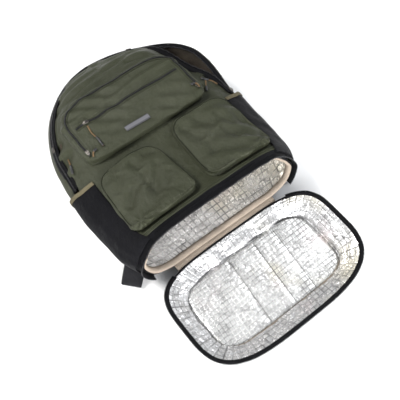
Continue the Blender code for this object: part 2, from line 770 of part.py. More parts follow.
# Rows across the tray's wall. size shrinks the whole loop, reach runs from the floor's
# edge (0) to the rim (1), rise from the foil floor (0) to the rim (1). The foil wall is
# padded, so low down it hangs over the floor.
TrayRow = namedtuple("TrayRow", "size reach rise")
FOIL_ROWS = [
    TrayRow(0.45, 0.00, 0.00), TrayRow(1.00, 0.03, 0.00), TrayRow(1.00, -0.03, 0.17),
    TrayRow(1.00, -0.01, 0.34), TrayRow(1.00, 0.25, 0.54), TrayRow(1.00, 0.62, 0.80),
    TrayRow(1.00, 0.94, 1.00),
]
FOIL_SHIFT = 0.050         # reach from the foil's face to its back
FOAM_SHIFT = 0.085         # reach from the foil's face to the foam
SHELL_ROWS = [
    TrayRow(0.45, 0.00, 0.00), TrayRow(1.00, 0.10, 0.00), TrayRow(1.00, 0.45, 0.14),
    TrayRow(1.00, 0.80, 0.50), TrayRow(1.00, 1.06, 1.00),
]


def tray_outline(angle, half, near, far, power_near, power_far):
    c, s = math.cos(angle), math.sin(angle)
    exponent = 2 / (power_near if s >= 0 else power_far)
    x = TRAY_CENTRE_X + half * power(c, exponent)
    return Vector((x, -(near + far) / 2 + (far - near) / 2 * power(s, exponent), 0))


def tray_point(angle, row, base, thin=0.0):
    """A point of the tray's wall over a base height, thinned downward if asked."""
    floor = tray_outline(angle, TRAY_FLOOR_HALF, TRAY_FLOOR_NEAR, TRAY_FLOOR_FAR,
                         TRAY_FLOOR_POWER, TRAY_FLOOR_POWER)
    rim = tray_outline(angle, TRAY_RIM_HALF, TRAY_RIM_NEAR, TRAY_RIM_FAR,
                       TRAY_POWER_NEAR, TRAY_POWER_FAR)
    centre = Vector((TRAY_CENTRE_X, -(TRAY_FLOOR_NEAR + TRAY_FLOOR_FAR) / 2, 0))
    place = centre + (floor.lerp(rim, row.reach) - centre) * row.size
    place.z = base + row.rise * (rim_height(angle) - base) - thin
    return place


def rim_height(angle):
    c, s = math.cos(angle), math.sin(angle)
    side = RIM_RIGHT if c > 0 else RIM_LEFT
    end = RIM_NEAR if s > 0 else RIM_FAR
    return TRAY_RIM_HEIGHT * mix(side, end, s * s)


def tray_loop(row, base, thin=0.0):
    fine = [tray_point(2 * math.pi * k / 360, row, base, thin) for k in range(361)]
    run = np.concatenate([[0], np.cumsum([(q - p).xy.length
                                          for p, q in zip(fine, fine[1:])])])
    steps = [run[-1] * k / TRAY_POINTS for k in range(TRAY_POINTS)]
    return [Vector([float(np.interp(w, run, [p[axis] for p in fine])) for axis in range(3)])
            for w in steps]


def shifted(rows, shift):
    return [row._replace(reach=row.reach + shift) for row in rows]


def build_tray():
    face = [tray_loop(row, FOIL_LEVEL) for row in FOIL_ROWS]
    back = [tray_loop(row, FOIL_LEVEL, LINING_WALL if row.rise < 1 else 0.0)
            for row in shifted(FOIL_ROWS, FOIL_SHIFT)]
    loft("tray_liner", face + back[::-1], "foil")

    foam_thin = LINING_WALL + GAP
    foam = [tray_loop(row, FOIL_LEVEL, foam_thin if row.rise < 1 else 0.0)
            for row in shifted(FOIL_ROWS, FOAM_SHIFT)]
    shell = [tray_loop(row, 0.0) for row in SHELL_ROWS]
    loft("tray_shell", foam + shell[::-1], "black")

    low = FOIL_LEVEL + GAP
    plan = TrayRow(1.00, -0.055, 0.0)
    edge = tray_loop(plan, low)
    top = tray_loop(plan._replace(reach=-0.10), low + TRAY_PANEL)
    loft("tray_floor", [edge, top], "foil")


# Turn of the tape's two ends from the middle of the far side
TRAY_TAPE_END = math.radians(147)


def build_tray_tape():
    """Black zip tape round three sides of the tray's rim."""
    loops = []
    row = TrayRow(1.00, 0.985, 1.0)
    for k in range(43):
        angle = -math.pi / 2 + TRAY_TAPE_END * (1 - 2 * k / 42)
        place = tray_point(angle, row, FOIL_LEVEL) + Vector((0, 0, GAP))
        out = (tray_point(angle, row._replace(reach=1.1), FOIL_LEVEL) - place)
        out = Vector((out.x, out.y, 0)).normalized() * COOLER_ZIP_WIDTH
        up = Vector((0, 0, TAPE))
        loops.append([place, place + out, place + out + up, place + up])
    loft("tray_zip_tape", loops, "black")


def rim_near_y(x):
    """Y of the tray's outer edge on its hinge side."""
    reach = SHELL_ROWS[-1].reach
    half = mix(TRAY_FLOOR_HALF, TRAY_RIM_HALF, reach)
    near = mix(TRAY_FLOOR_NEAR, TRAY_RIM_NEAR, reach)
    far = mix(TRAY_FLOOR_FAR, TRAY_RIM_FAR, reach)
    share = 1 - (abs(x - TRAY_CENTRE_X) / half) ** TRAY_POWER_NEAR
    return -(near + far) / 2 + (far - near) / 2 * share ** (1 / TRAY_POWER_NEAR)


HINGE_HALF = 0.102


def build_hinge():
    """Bound cloth hinge between the cooler's mouth and the tray's near rim."""
    mouth = MOUTH_Y - GAP - 2 * TAPE - GAP
    high = BACK_LEVEL + SHELL_WALL + LINER_CLEAR + LINER_WALL / 2
    low = RIM_NEAR * TRAY_RIM_HEIGHT
    loops = []
    for k in range(17):
        x = HINGE_HALF * (k / 8 - 1)
        near = rim_near_y(x) + GAP
        loops.append([Vector((x, mouth, high)), Vector((x, near, low)),
                      Vector((x, near, low - 1.5 * TAPE)),
                      Vector((x, mouth, high - 1.5 * TAPE))])
    loft("hinge_strip", loops, "beige")


# Zips, sliders and pulls

MAIN_ZIP_OVERLAP = 0.0012  # of the tape over the cloth's edge
TAPE_TURN = 0.40           # least share of the tape's run that goes on from the cloth
ZIP_END = 0.45             # where the tapes end, between two stations of the side
ZIP_CENTRE = Vector((0, ARCH_START, BACK_LEVEL + BODY_DEPTH / 2))


def build_main_zip():
    """The two halves of the main zip, parted where it is open."""
    stations = [side_station(y, 1) for y in SIDE_STATIONS[-3:]]
    stations += [arch_station(k / ARCH_STEPS) for k in range(1, ARCH_STEPS)]
    stations += [side_station(y, -1) for y in reversed(SIDE_STATIONS[-3:])]
    rings = {"back": ("zip_back", "zip_front", "widest"),
             "front": ("zip_front", "zip_back", "shoulder")}
    lines = {}
    for word, names in rings.items():
        edges, others, cloths = [[body_point(station, RING[name]) for station in stations]
                                 for name in names]
        loops = []
        for station, edge, other, cloth, along in zip(stations, edges, others, cloths,
                                                      directions(edges, False)):
            lift = SEAT * (1 + 1.4 * ease(station.gape / 0.08))
            across = (other - edge).normalized()
            onward = (edge - cloth).normalized()
            straight = across.dot(onward)
            across = (across + onward * max(0.0, TAPE_TURN - straight)).normalized()
            out = along.cross(across + onward).normalized()
            if out.dot(edge - ZIP_CENTRE) < 0:
                out = -out
            reach = min(ZIP_WIDTH, (other - edge).length / 2 - GAP)
            foot = mix(SEAT, -MAIN_ZIP_OVERLAP, ease((straight - 0.55) / 0.40))
            low = edge + onward * foot + out * lift
            far = low + across * reach
            loops.append([low, far, far + out * TAPE, low + out * TAPE])
        loops[0] = [p.lerp(q, ZIP_END) for p, q in zip(loops[0], loops[1])]
        loops[-1] = [p.lerp(q, ZIP_END) for p, q in zip(loops[-1], loops[-2])]
        loft(f"main_zip_{word}", loops, "black")
        lines[word] = [(loop[1] + loop[2]) / 2 for loop in loops]
    return lines


def highest(trees, x, y, around):
    """Height of whichever surface is highest near a point in the plan."""
    found = []
    for across, along in ((0, 0), (-1, 0), (1, 0), (0, -1), (0, 1)):
        start = Vector((x + across * around, y + along * around, 1.0))
        hits = [tree.ray_cast(start, Vector((0, 0, -1)))[0] for tree in trees]
        found += [hit.z for hit in hits if hit is not None]
    return max(found)


def flat_zip(name, tree, plan_points, width):
    """A closed zip lying on a pocket, along points of the plan."""
    places, normals = [], []
    for x, y in plan_points:
        place, normal = lying_on(tree, x, y)
        places.append(place + normal * (SEAT + TAPE / 2))
        normals.append(normal)
    return strip(name, places, normals, width, TAPE, "black")


def slider(name, place, along, normal):
    """Die-cast slider, narrower at its tail."""
    along = along.normalized()
    across = along.cross(normal).normalized()
    loops = []
    for run, half, high in ((-0.5, 0.55, 0.6), (-0.25, 0.8, 1.0), (0.2, 1.0, 1.0),
                            (0.5, 0.8, 0.55)):
        centre = place + along * SLIDER_LENGTH * run
        side = across * SLIDER_WIDTH / 2 * half
        up = normal * SLIDER_HEIGHT * high
        loops.append([centre + side, centre - side, centre - side + up, centre + side + up])
    return loft(name, loops, "metal")


# Pulls as plan points from the slider to the sleeve's end, with y from a given place
PullRoute = namedtuple("PullRoute", "from_y points")
PULL_ROUTES = {
    "pocket_pull": PullRoute(POCKET_ZIP_Y, [(-0.0865, -0.0065), (-0.0880, -0.0200),
                                            (-0.0868, -0.0370), (-0.0870, -0.0530)]),
    "front_pull_right": PullRoute(COMPARTMENT_FOOT, [(0.1055, 0.0125), (0.1035, 0.0220),
                                                     (0.0975, 0.0270)]),
    "front_pull_left": PullRoute(COMPARTMENT_FOOT, [(-0.1105, 0.0090), (-0.1060, 0.0150),
                                                    (-0.0990, 0.0170)]),
    "main_pull_right": PullRoute(ARCH_START, [(0.1520, -0.0160), (0.1440, -0.0060),
                                              (0.1300, 0.0030)]),
    "main_pull_hanging": PullRoute(ARCH_START, [(0.1330, -0.0070), (0.1260, -0.0170),
                                                (0.1190, -0.0275)]),
    "main_pull_left": PullRoute(ARCH_START, [(-0.1395, 0.0080), (-0.1430, -0.0050),
                                             (-0.1480, -0.0190)]),
}
PULL_LIFT = 0.0005         # of the cord over what it lies on
# Sliders of the main zip, by the station of the body they stand at
MAIN_SLIDERS = {"right": 0, "top": 8, "left": 18}


def build_pull(name, trees):
    """Cord through the slider's ear, its free end in a moulded sleeve."""
    from_y, points = PULL_ROUTES[name]
    route = smooth_path([(x, from_y + y, 0) for x, y in points], 9)
    radii = [CORD_RADIUS] * 5 + [SLEEVE_RADIUS] * 4
    heights = [highest(trees, p.x, p.y, radius) + radius + PULL_LIFT
               for p, radius in zip(route, radii)]
    places = [Vector((p.x, p.y, z)) for p, z in zip(route, heights)]
    for i, place in enumerate(places):
        near = heights[max(0, i - 1):i + 2]
        place.z = max(heights[i], sum(near) / len(near))
    tube(name, places, radii, "khaki")


def build_fastenings(body_tree, front, pockets):
    front_tree = tree_of(front)
    made = []
    half = COMPARTMENT_HALF

    inset = 0.0085
    plan = [pocket_plan(math.radians(a), -half - 0.004 + inset, half - 0.004 - inset,
                        COMPARTMENT_FOOT, COMPARTMENT_HEAD - inset, 9.0, 4.2)
            for a in range(-40, 221, 2)]
    legs = smooth_path([(p.x, p.y, 0) for p in plan], 40)
    legs = [p for p in legs if p.y > COMPARTMENT_FOOT + 0.012]
    made.append(flat_zip("front_zip", front_tree, [(p.x, p.y) for p in legs],
                         FINE_ZIP_WIDTH))
    reach = half - 0.018
    run = [(mix(-reach - 0.004, reach - 0.004, k / 16), POCKET_ZIP_Y) for k in range(17)]
    made.append(flat_zip("pocket_zip", front_tree, run, FINE_ZIP_WIDTH))

    places, normals = [], []
    for k in range(5):
        x = LABEL_X + LABEL_LENGTH * (k / 4 - 0.5)
        place, normal = lying_on(front_tree, x, LABEL_Y)
        places.append(place + normal * (SEAT + TAPE / 2))
        normals.append(normal)
    strip("label", places, normals, LABEL_WIDTH, TAPE, "grey")

    on_tape = 2 * SEAT + TAPE
    place, normal = lying_on(front_tree, -0.086, POCKET_ZIP_Y)
    made.append(slider("pocket_slider", place + normal * on_tape, Vector((1, 0, 0)), normal))
    for word, end in (("right", legs[0]), ("left", legs[-1])):
        place, normal = lying_on(front_tree, end.x, end.y + SLIDER_LENGTH / 2)
        made.append(slider(f"front_slider_{word}", place + normal * on_tape,
                           Vector((0, 1, 0)), normal))

    lines = build_main_zip()
    for word, k in MAIN_SLIDERS.items():
        place = (lines["back"][k] + lines["front"][k]) / 2
        along = (lines["front"][k + 1] - lines["front"][k]).normalized()
        across = (lines["front"][k] - lines["back"][k]).normalized()
        normal = along.cross(across).normalized()
        if normal.dot(place - ZIP_CENTRE) < 0:
            normal = -normal
        place = place + along * SLIDER_LENGTH * 0.5 + normal * (TAPE / 2 + SEAT)
        made.append(slider(f"main_slider_{word}", place, along, normal))
    trees = [body_tree] + [tree_of(piece) for piece in made + [front] + pockets]
    for name in PULL_ROUTES:
        build_pull(name, trees)


def set_on_origin():
    """Shift every piece so that the origin is the middle of the whole plan."""
    places = [v.co for made in bpy.data.objects for v in made.data.vertices]
    middle_x = (min(p.x for p in places) + max(p.x for p in places)) / 2
    middle_y = (min(p.y for p in places) + max(p.y for p in places)) / 2
    floor = min(p.z for p in places)
    for made in bpy.data.objects:
        made.location = (-middle_x, -middle_y, -floor)


def main():
    for old in list(bpy.data.objects):
        bpy.data.objects.remove(old, do_unlink=True)
    build_body()
    build_cooler()
    build_back_panel()
    whole = body_sheet(BAND_STATIONS[:1] + SIDE_STATIONS, "closed")
    body_tree = BVHTree.FromBMesh(whole)
    whole.free()
    build_straps(body_tree)
    build_handle(body_tree)
    front, bellows = build_front(body_tree)
    build_side_pockets()
    build_tray()
    build_tray_tape()
    build_hinge()
    build_fastenings(body_tree, front, bellows)
    set_on_origin()


main()
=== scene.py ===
# Cooler backpack lying on its back: olive cloth bag, foil-lined cooler in its bottom,
# and the cooler's tray folded out. Metres; in the working frame Y is 0 at the cooler's
# mouth, +Y runs to the top of the bag and +Z out of its front.

import math
from collections import namedtuple

import bmesh
import bpy
import numpy as np
from mathutils import Matrix, Vector, noise
from mathutils.bvhtree import BVHTree


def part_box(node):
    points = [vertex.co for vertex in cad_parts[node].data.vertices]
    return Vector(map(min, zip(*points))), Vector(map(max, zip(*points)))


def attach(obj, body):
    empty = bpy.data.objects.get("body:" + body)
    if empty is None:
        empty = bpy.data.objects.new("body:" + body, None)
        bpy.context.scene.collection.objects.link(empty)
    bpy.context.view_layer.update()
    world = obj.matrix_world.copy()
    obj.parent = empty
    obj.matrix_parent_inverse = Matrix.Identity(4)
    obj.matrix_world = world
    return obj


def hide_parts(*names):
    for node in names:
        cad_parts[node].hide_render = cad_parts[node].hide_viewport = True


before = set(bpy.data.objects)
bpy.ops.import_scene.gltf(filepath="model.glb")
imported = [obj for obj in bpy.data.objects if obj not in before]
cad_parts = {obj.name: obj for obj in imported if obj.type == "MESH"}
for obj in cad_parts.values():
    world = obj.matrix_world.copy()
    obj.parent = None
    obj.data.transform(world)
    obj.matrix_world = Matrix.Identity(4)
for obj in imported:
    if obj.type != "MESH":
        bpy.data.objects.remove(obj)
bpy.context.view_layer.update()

# Body: the olive twill of the bag, a back half with its gusset and a front half, with
# the main zip between them. Sewn from coated cloth, so it sags in soft broad folds.

BODY_LENGTH = 0.412
ARCH_START = 0.225
HALF_WIDTH = 0.170
BODY_DEPTH = 0.100
BAND_LENGTH = 0.018
MOUTH_Y = 0.0025
BACK_LEVEL = 0.0194
SHELL_WALL = 0.0022
ORIGIN_Y = MOUTH_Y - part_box("cooler_liner")[0].y

SideRow = namedtuple("SideRow", "at left right")
SIDE_ROWS = [
    SideRow(0.00, 0.915, 0.900),
    SideRow(0.12, 0.970, 0.965),
    SideRow(0.35, 1.000, 1.010),
    SideRow(0.65, 1.005, 1.030),
    SideRow(0.85, 0.995, 1.035),
    SideRow(1.00, 0.975, 1.040),
]
ARCH_POWER_LEFT = 1.65
ARCH_POWER_RIGHT = 2.10

FrontRow = namedtuple("FrontRow", "at height")
FRONT_ROWS = [
    FrontRow(0.00, 1.060),
    FrontRow(0.05, 1.020),
    FrontRow(0.10, 0.940),
    FrontRow(0.20, 0.840),
    FrontRow(0.34, 0.800),
    FrontRow(0.46, 0.790),
    FrontRow(0.56, 0.840),
    FrontRow(0.73, 0.900),
    FrontRow(0.82, 0.850),
    FrontRow(0.91, 0.710),
    FrontRow(1.00, 0.500),
]

# The section from the middle of the back round the side to the middle of the front
Ring = namedtuple("Ring", "inset rise gape_inset gape_rise mouth_inset")
RINGS = [
    Ring(1.000, 0.000, 0.000, 0.000, 0.000),
    Ring(0.550, 0.000, 0.000, 0.000, 0.000),
    Ring(0.190, 0.000, 0.000, 0.000, 0.130),
    Ring(0.045, 0.150, 0.000, 0.000, 0.060),
    Ring(0.000, 0.420, -0.010, 0.080, 0.000),
    Ring(0.045, 0.600, -0.010, 0.190, 0.000),
    Ring(0.090, 0.690, 0.130, -0.070, 0.000),
    Ring(0.200, 0.860, 0.100, -0.070, 0.000),
    Ring(0.360, 0.955, 0.020, 0.000, 0.000),
    Ring(0.650, 0.995, 0.000, 0.000, 0.000),
    Ring(1.000, 1.000, 0.000, 0.000, 0.000),
]
BACK_ROUND, ZIP_BACK, ZIP_FRONT, SHOULDER, MIDDLE = 3, 5, 6, 7, 10

GAPE_FROM = -0.080
GAPE_WIDEST = 0.110
GAPE_TO = 0.330

Station = namedtuple("Station", "edge_x edge_y spine_y gape mouth")


def curve_through(at, values):
    """A smooth function through values at rising places."""
    at, values = np.asarray(at, float), np.asarray(values, float)
    slope = np.gradient(values, at, axis=0)

    def value(share):
        share = min(max(share, at[0]), at[-1])
        i = min(int(np.searchsorted(at, share, side="right")) - 1, len(at) - 2)
        step = at[i + 1] - at[i]
        t = (share - at[i]) / step
        return ((2 * t**3 - 3 * t**2 + 1) * values[i]
                + (t**3 - 2 * t**2 + t) * step * slope[i]
                + (3 * t**2 - 2 * t**3) * values[i + 1]
                + (t**3 - t**2) * step * slope[i + 1])

    return value


def ease(share):
    """Smooth step from 0 to 1."""
    share = min(max(share, 0.0), 1.0)
    return share * share * (3 - 2 * share)


def mix(a, b, share):
    return a + (b - a) * share


def power(value, exponent):
    return math.copysign(abs(value) ** exponent, value)


half_left = curve_through([r.at for r in SIDE_ROWS], [r.left for r in SIDE_ROWS])
half_right = curve_through([r.at for r in SIDE_ROWS], [r.right for r in SIDE_ROWS])
front_height = curve_through([r.at for r in FRONT_ROWS], [r.height for r in FRONT_ROWS])
ring_at = curve_through(range(len(RINGS)), RINGS)


def front_level(y):
    return BACK_LEVEL + BODY_DEPTH * front_height(y / BODY_LENGTH)


def gape_at(share):
    if share < GAPE_WIDEST:
        return ease((share - GAPE_FROM) / (GAPE_WIDEST - GAPE_FROM))
    return ease((GAPE_TO - share) / (GAPE_TO - GAPE_WIDEST))


def side_station(y, side):
    """A place on the straight right (side 1) or left (side -1) edge."""
    half = HALF_WIDTH * (half_right if side > 0 else half_left)(y / ARCH_START)
    arch_share = (y - ARCH_START) / (math.pi * HALF_WIDTH)
    gape = gape_at(arch_share) if side > 0 else 0.0
    return Station(side * half, y, y, gape, ease(1 - y / (0.45 * ARCH_START)))


def arch_station(share):
    """A place on the arch, from its right end (0) to its left end (1)."""
    angle = math.pi * share
    right = math.cos(angle) >= 0
    half = HALF_WIDTH * (half_right if right else half_left)(1.0)
    exponent = 2 / (ARCH_POWER_RIGHT if right else ARCH_POWER_LEFT)
    y = ARCH_START + (BODY_LENGTH - ARCH_START) * abs(math.sin(angle)) ** exponent
    return Station(half * power(math.cos(angle), exponent), y, ARCH_START, gape_at(share), 0.0)


MOUTH_SLANT = 0.0215
SLANT_REACH = 0.092


def body_place(station, level):
    ring = Ring(*ring_at(level))
    inset = ring.inset + ring.gape_inset * station.gape + ring.mouth_inset * station.mouth
    inset = min(inset, 1.0)
    y = mix(station.edge_y, station.spine_y, inset)
    rise = ring.rise + ring.gape_rise * station.gape
    slant = MOUTH_SLANT * ease(ring.rise) * (1 - y / SLANT_REACH) ** 2 * (y < SLANT_REACH)
    return Vector((station.edge_x * (1 - inset), y + slant,
                   BACK_LEVEL + rise * (front_level(y) - BACK_LEVEL)))


SIDE_STEPS = 44
ARCH_STEPS = 132


def stations_from(foot, side_steps, arch_steps=ARCH_STEPS):
    """Places up the right edge from a foot, over the arch and down the left edge."""
    ups = np.linspace(foot, ARCH_START, side_steps)
    return ([side_station(y, 1) for y in ups]
            + [arch_station(k / arch_steps) for k in range(1, arch_steps)]
            + [side_station(y, -1) for y in ups[::-1]])


body_stations = stations_from(BAND_LENGTH, SIDE_STEPS)


class Wire:
    """One socket of a material's nodes, which can stand in a sum."""

    def __init__(self, finish, socket):
        self.finish, self.socket = finish, socket

    def worked(self, kind, *values):
        return self.finish.node("ShaderNodeMath", {"operation": kind},
                                dict(enumerate(values)))["Value"]

    def __add__(self, other):
        return self.worked("ADD", self, other)

    def __sub__(self, other):
        return self.worked("SUBTRACT", self, other)

    def __rsub__(self, other):
        return self.worked("SUBTRACT", other, self)

    def __mul__(self, other):
        return self.worked("MULTIPLY", self, other)

    def __truediv__(self, other):
        return self.worked("DIVIDE", self, other)

    __radd__ = __add__
    __rmul__ = __mul__

    def wave(self):
        return self.worked("SINE", self)

    def size(self):
        return self.worked("ABSOLUTE", self)

    def part(self):
        return self.worked("FRACT", self)

    def step(self, low, high):
        """0 below low, 1 above high, and smooth between."""
        return self.finish.node("ShaderNodeMapRange", {"interpolation_type": "SMOOTHSTEP"},
                                {"Value": self, "From Min": low, "From Max": high})["Result"]


class Finish:
    """A material, its Principled shader and the nodes before it."""

    def __init__(self, name, **even):
        self.material = bpy.data.materials.new(name)
        self.material.use_nodes = True
        self.tree = self.material.node_tree
        self.shader = self.tree.nodes["Principled BSDF"]
        for key, value in even.items():
            self.shader.inputs[key.replace("_", " ")].default_value = value
        self.place = self.node("ShaderNodeTexCoord")["Object"]
        thread = self.node("ShaderNodeUVMap", {"uv_map": "Thread"})["UV"]
        split = self.node("ShaderNodeSeparateXYZ", {}, {"Vector": thread})
        self.along, self.across = split["X"], split["Y"]

    def node(self, kind, settings=None, sockets=None):
        made = self.tree.nodes.new(kind)
        for key, value in (settings or {}).items():
            if key == "stops":
                for stop, (at, colour) in zip(made.color_ramp.elements, value):
                    stop.position, stop.color = at, colour
            else:
                setattr(made, key, value)
        for key, value in (sockets or {}).items():
            if isinstance(key, str):
                socket = next(s for s in made.inputs if s.enabled and s.name == key)
            else:
                socket = made.inputs[key]
            if isinstance(value, Wire):
                self.tree.links.new(value.socket, socket)
            else:
                socket.default_value = value
        return {s.name: Wire(self, s) for s in made.outputs if s.enabled}

    def patches(self, scale, detail=2.0, where=None, roughness=0.5):
        return self.node("ShaderNodeTexNoise", {}, {
            "Vector": where or self.place, "Scale": scale, "Detail": detail,
            "Roughness": roughness})["Fac"]

    def colours(self, share, low, high):
        return self.node("ShaderNodeMix", {"data_type": "RGBA"},
                         {"Factor": share, "A": (*low, 1.0) if isinstance(low, tuple) else low,
                          "B": (*high, 1.0) if isinstance(high, tuple) else high})["Result"]

    def relief(self, height, depth, strength=1.0, below=None):
        sockets = {"Height": height, "Distance": depth, "Strength": strength}
        if below is not None:
            sockets["Normal"] = below
        return self.node("ShaderNodeBump", {}, sockets)["Normal"]

    def show(self, **varying):
        for key, value in varying.items():
            self.tree.links.new(value.socket, self.shader.inputs[key.replace("_", " ")])
        return self.material


TWILL_PITCH = 0.0011
OLIVE = (0.0335, 0.0358, 0.0232)
OLIVE_WORN = (0.0560, 0.0600, 0.0370)
OLIVE_DEEP = (0.0230, 0.0255, 0.0140)


def woven(name, deep, main, worn, pitch=TWILL_PITCH, slant=0.62, rough=0.62, relief=0.00012,
          sheen=0.02, gloss=0.06):
    """Cloth with a slanting rib, faded in patches and a little shiny where it is rubbed."""
    cloth = Finish(name, Sheen_Weight=sheen, Sheen_Roughness=0.45, Specular_IOR_Level=gloss)
    rib = ((cloth.along + cloth.across * slant) * (2 * math.pi / pitch)).wave()
    thread = (cloth.across * (2 * math.pi / (pitch * 0.45))).wave()
    weave = rib * 0.6 + thread * 0.4
    faded = cloth.patches(11.0, 4.0).step(0.38, 0.72)
    flecks = cloth.patches(900.0, 1.0)
    shade = cloth.colours(faded, deep, main)
    shade = cloth.colours((weave * 0.5 + 0.5) * 0.35 + flecks * 0.20, shade, worn)
    creased = cloth.patches(26.0, 4.0, roughness=0.55)
    soft = cloth.relief(creased, 0.0085, 0.85)
    return cloth.show(Base_Color=shade, Roughness=faded * -0.08 + rough,
                      Normal=cloth.relief(weave, relief, 0.6, soft))


olive_cloth = woven("olive twill", OLIVE_DEEP, OLIVE, OLIVE_WORN, rough=0.50, gloss=0.16)


def plain(made):
    """The piece with its modifiers turned into plain mesh."""
    seen = made.evaluated_get(bpy.context.evaluated_depsgraph_get())
    mesh = bpy.data.meshes.new_from_object(seen)
    made.modifiers.clear()
    old, made.data = made.data, mesh
    bpy.data.meshes.remove(old)
    return made


def shown(name, mesh, finish, corner=50):
    """A finished object in the row's frame, smooth but for its sharp corners."""
    mesh.materials.clear()
    mesh.materials.append(finish)
    mesh.shade_smooth()
    mesh.set_sharp_from_angle(angle=math.radians(corner))
    made = bpy.data.objects.new(name, mesh)
    bpy.context.scene.collection.objects.link(made)
    return made


def fit(made, slot, *nodes):
    """The piece rides on the bag, in place of its plain solids."""
    made.data.transform(Matrix.Translation((0, -ORIGIN_Y, 0)))
    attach(made, "root")
    if nodes:
        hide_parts(*nodes)
    return made


def sheet_of(grid, inside, closed=False, cap=False, folds=None, sink=0.0):
    """A smooth open sheet through a grid of points, facing away from a place inside.
    Its Thread map runs in metres, so a weave keeps its scale."""
    grid = np.asarray(grid, float)
    rows, columns = grid.shape[:2]
    wrap = np.concatenate([grid, grid[:, :1]], axis=1) if closed else grid
    run = np.linalg.norm(np.diff(wrap, axis=1), axis=2)[rows // 2]
    along = np.concatenate([[0], np.cumsum(run)])
    fall = np.linalg.norm(np.diff(grid, axis=0), axis=2).mean(axis=1)
    across = np.concatenate([[0], np.cumsum(fall)])
    bm = bmesh.new()
    thread = bm.loops.layers.uv.new("Thread")
    points = [[bm.verts.new(p) for p in row] for row in grid]
    for i in range(rows - 1):
        for j in range(columns if closed else columns - 1):
            k = (j + 1) % columns
            corners = (points[i][j], points[i][k], points[i + 1][k], points[i + 1][j])
            spots = ((along[j], across[i]), (along[j + 1], across[i]),
                     (along[j + 1], across[i + 1]), (along[j], across[i + 1]))
            face = bm.faces.new(corners)
            for loop, spot in zip(face.loops, spots):
                loop[thread].uv = spot
    if cap:
        hub = bm.verts.new(grid[0].mean(axis=0))
        for j in range(columns):
            bm.faces.new((points[0][j], points[0][(j + 1) % columns], hub))
    bmesh.ops.remove_doubles(bm, verts=bm.verts, dist=2e-5)
    bmesh.ops.dissolve_degenerate(bm, edges=bm.edges, dist=1e-6)
    bmesh.ops.recalc_face_normals(bm, faces=bm.faces)
    away = sum((f.calc_center_median() - Vector(inside)).dot(f.normal) * f.calc_area()
               for f in bm.faces)
    if away < 0:
        bmesh.ops.reverse_faces(bm, faces=bm.faces)
    bm.normal_update()
    if folds or sink:
        for v in bm.verts:
            v.co += v.normal * ((folds(v.co) if folds else 0.0) - sink)
        bm.normal_update()
    mesh = bpy.data.meshes.new("sheet")
    bm.to_mesh(mesh)
    bm.free()
    return mesh


def walled(made, wall, outward=False):
    """The sheet with an even wall, on the inner side unless outward."""
    solid = made.modifiers.new("wall", "SOLIDIFY")
    solid.thickness = wall
    solid.offset = 1.0 if outward else -1.0
    solid.thickness_clamp = 1.2
    return plain(made)


def cloth(name, grid, wall, finish, inside, corner=50, outward=False, **how):
    """A piece of cloth through a grid of points."""
    return walled(shown(name, sheet_of(grid, inside, **how), finish, corner), wall, outward)


BODY_INSIDE = (0.0, 0.20, 0.065)
front_levels = np.linspace(ZIP_FRONT - 0.03, MIDDLE, 46)
back_levels = np.concatenate([np.linspace(0.5, 2, 6), np.linspace(2.1, ZIP_BACK + 0.03, 34)])


def ripple(x, y, z, scale, seed=0.0):
    return noise.noise(Vector((x * scale, y * scale, z * scale + seed)))


def soft_ridges(x, y, turn, pitch, seed):
    """Long folds that run one way, wandering and fading along their length."""
    u = x * math.cos(turn) + y * math.sin(turn)
    v = -x * math.sin(turn) + y * math.cos(turn)
    wander = noise.noise(Vector((u * 9, v * 4, seed))) * 1.4
    height = math.sin(v * 2 * math.pi / pitch + wander * 2.2)
    fade = max(0.0, noise.noise(Vector((u * 13, v * 13, seed + 7))) + 0.30)
    return height * fade


# Where the front cloth is free of pockets, so that its folds can stand
TOP_FREE = 0.303
SIDE_FREE = 0.124
SIDE_POCKET_HEAD = 0.178
WAIST_Y = 0.180


def covered(y):
    """Share of the folds held down where a side pocket lies over the cloth."""
    return 0.88 * ease((SIDE_POCKET_HEAD - y) / 0.012)


def front_folds(p):
    side = ease((abs(p.x) - SIDE_FREE) / 0.014) * (1 - covered(p.y))
    free = max(ease((p.y - TOP_FREE) / 0.030), side)
    broad = ripple(p.x, p.y, 0.0, 13, 2.0) * 0.0060
    top = soft_ridges(p.x, p.y, math.radians(-18 if p.x > 0 else 24), 0.030, 3.0) * 0.0036
    waist = soft_ridges(p.x, p.y, math.radians(6), 0.020, 9.0) * 0.0022
    edge = 1 - ease((abs(p.x) / HALF_WIDTH - 0.86) / 0.1) * 0.4
    near_waist = math.exp(-((p.y - WAIST_Y) / 0.020) ** 2)
    gather = soft_ridges(p.x, p.y, math.radians(88), 0.011, 5.0) * 0.0020 * near_waist
    return free * edge * (broad + top) + (waist + gather) * (0.25 + 0.75 * free)


def back_folds(p):
    broad = ripple(p.x, p.y, p.z, 17, 4.0) * 0.0022
    tight = soft_ridges(p.x + p.z, p.y, math.radians(70), 0.024, 6.0) * 0.0010
    return (broad + tight) * ease((p.z - BACK_LEVEL) / 0.02) * (1 - covered(p.y))


front_grid = [[body_place(s, level) for level in front_levels] for s in body_stations]
back_grid = [[body_place(s, level) for level in back_levels] for s in body_stations]
body_front = cloth("body_front", front_grid, SHELL_WALL, olive_cloth, BODY_INSIDE,
                   folds=front_folds)
body_back = cloth("body_back", back_grid, SHELL_WALL, olive_cloth, BODY_INSIDE,
                  folds=back_folds)
fit(body_front, "olive_cloth", "body_shell")
fit(body_back, "olive_cloth", "body_shell")

# Main lining: thin taupe cloth loose inside the shell, seen through the open main zip,
# where it slumps in crumpled folds.

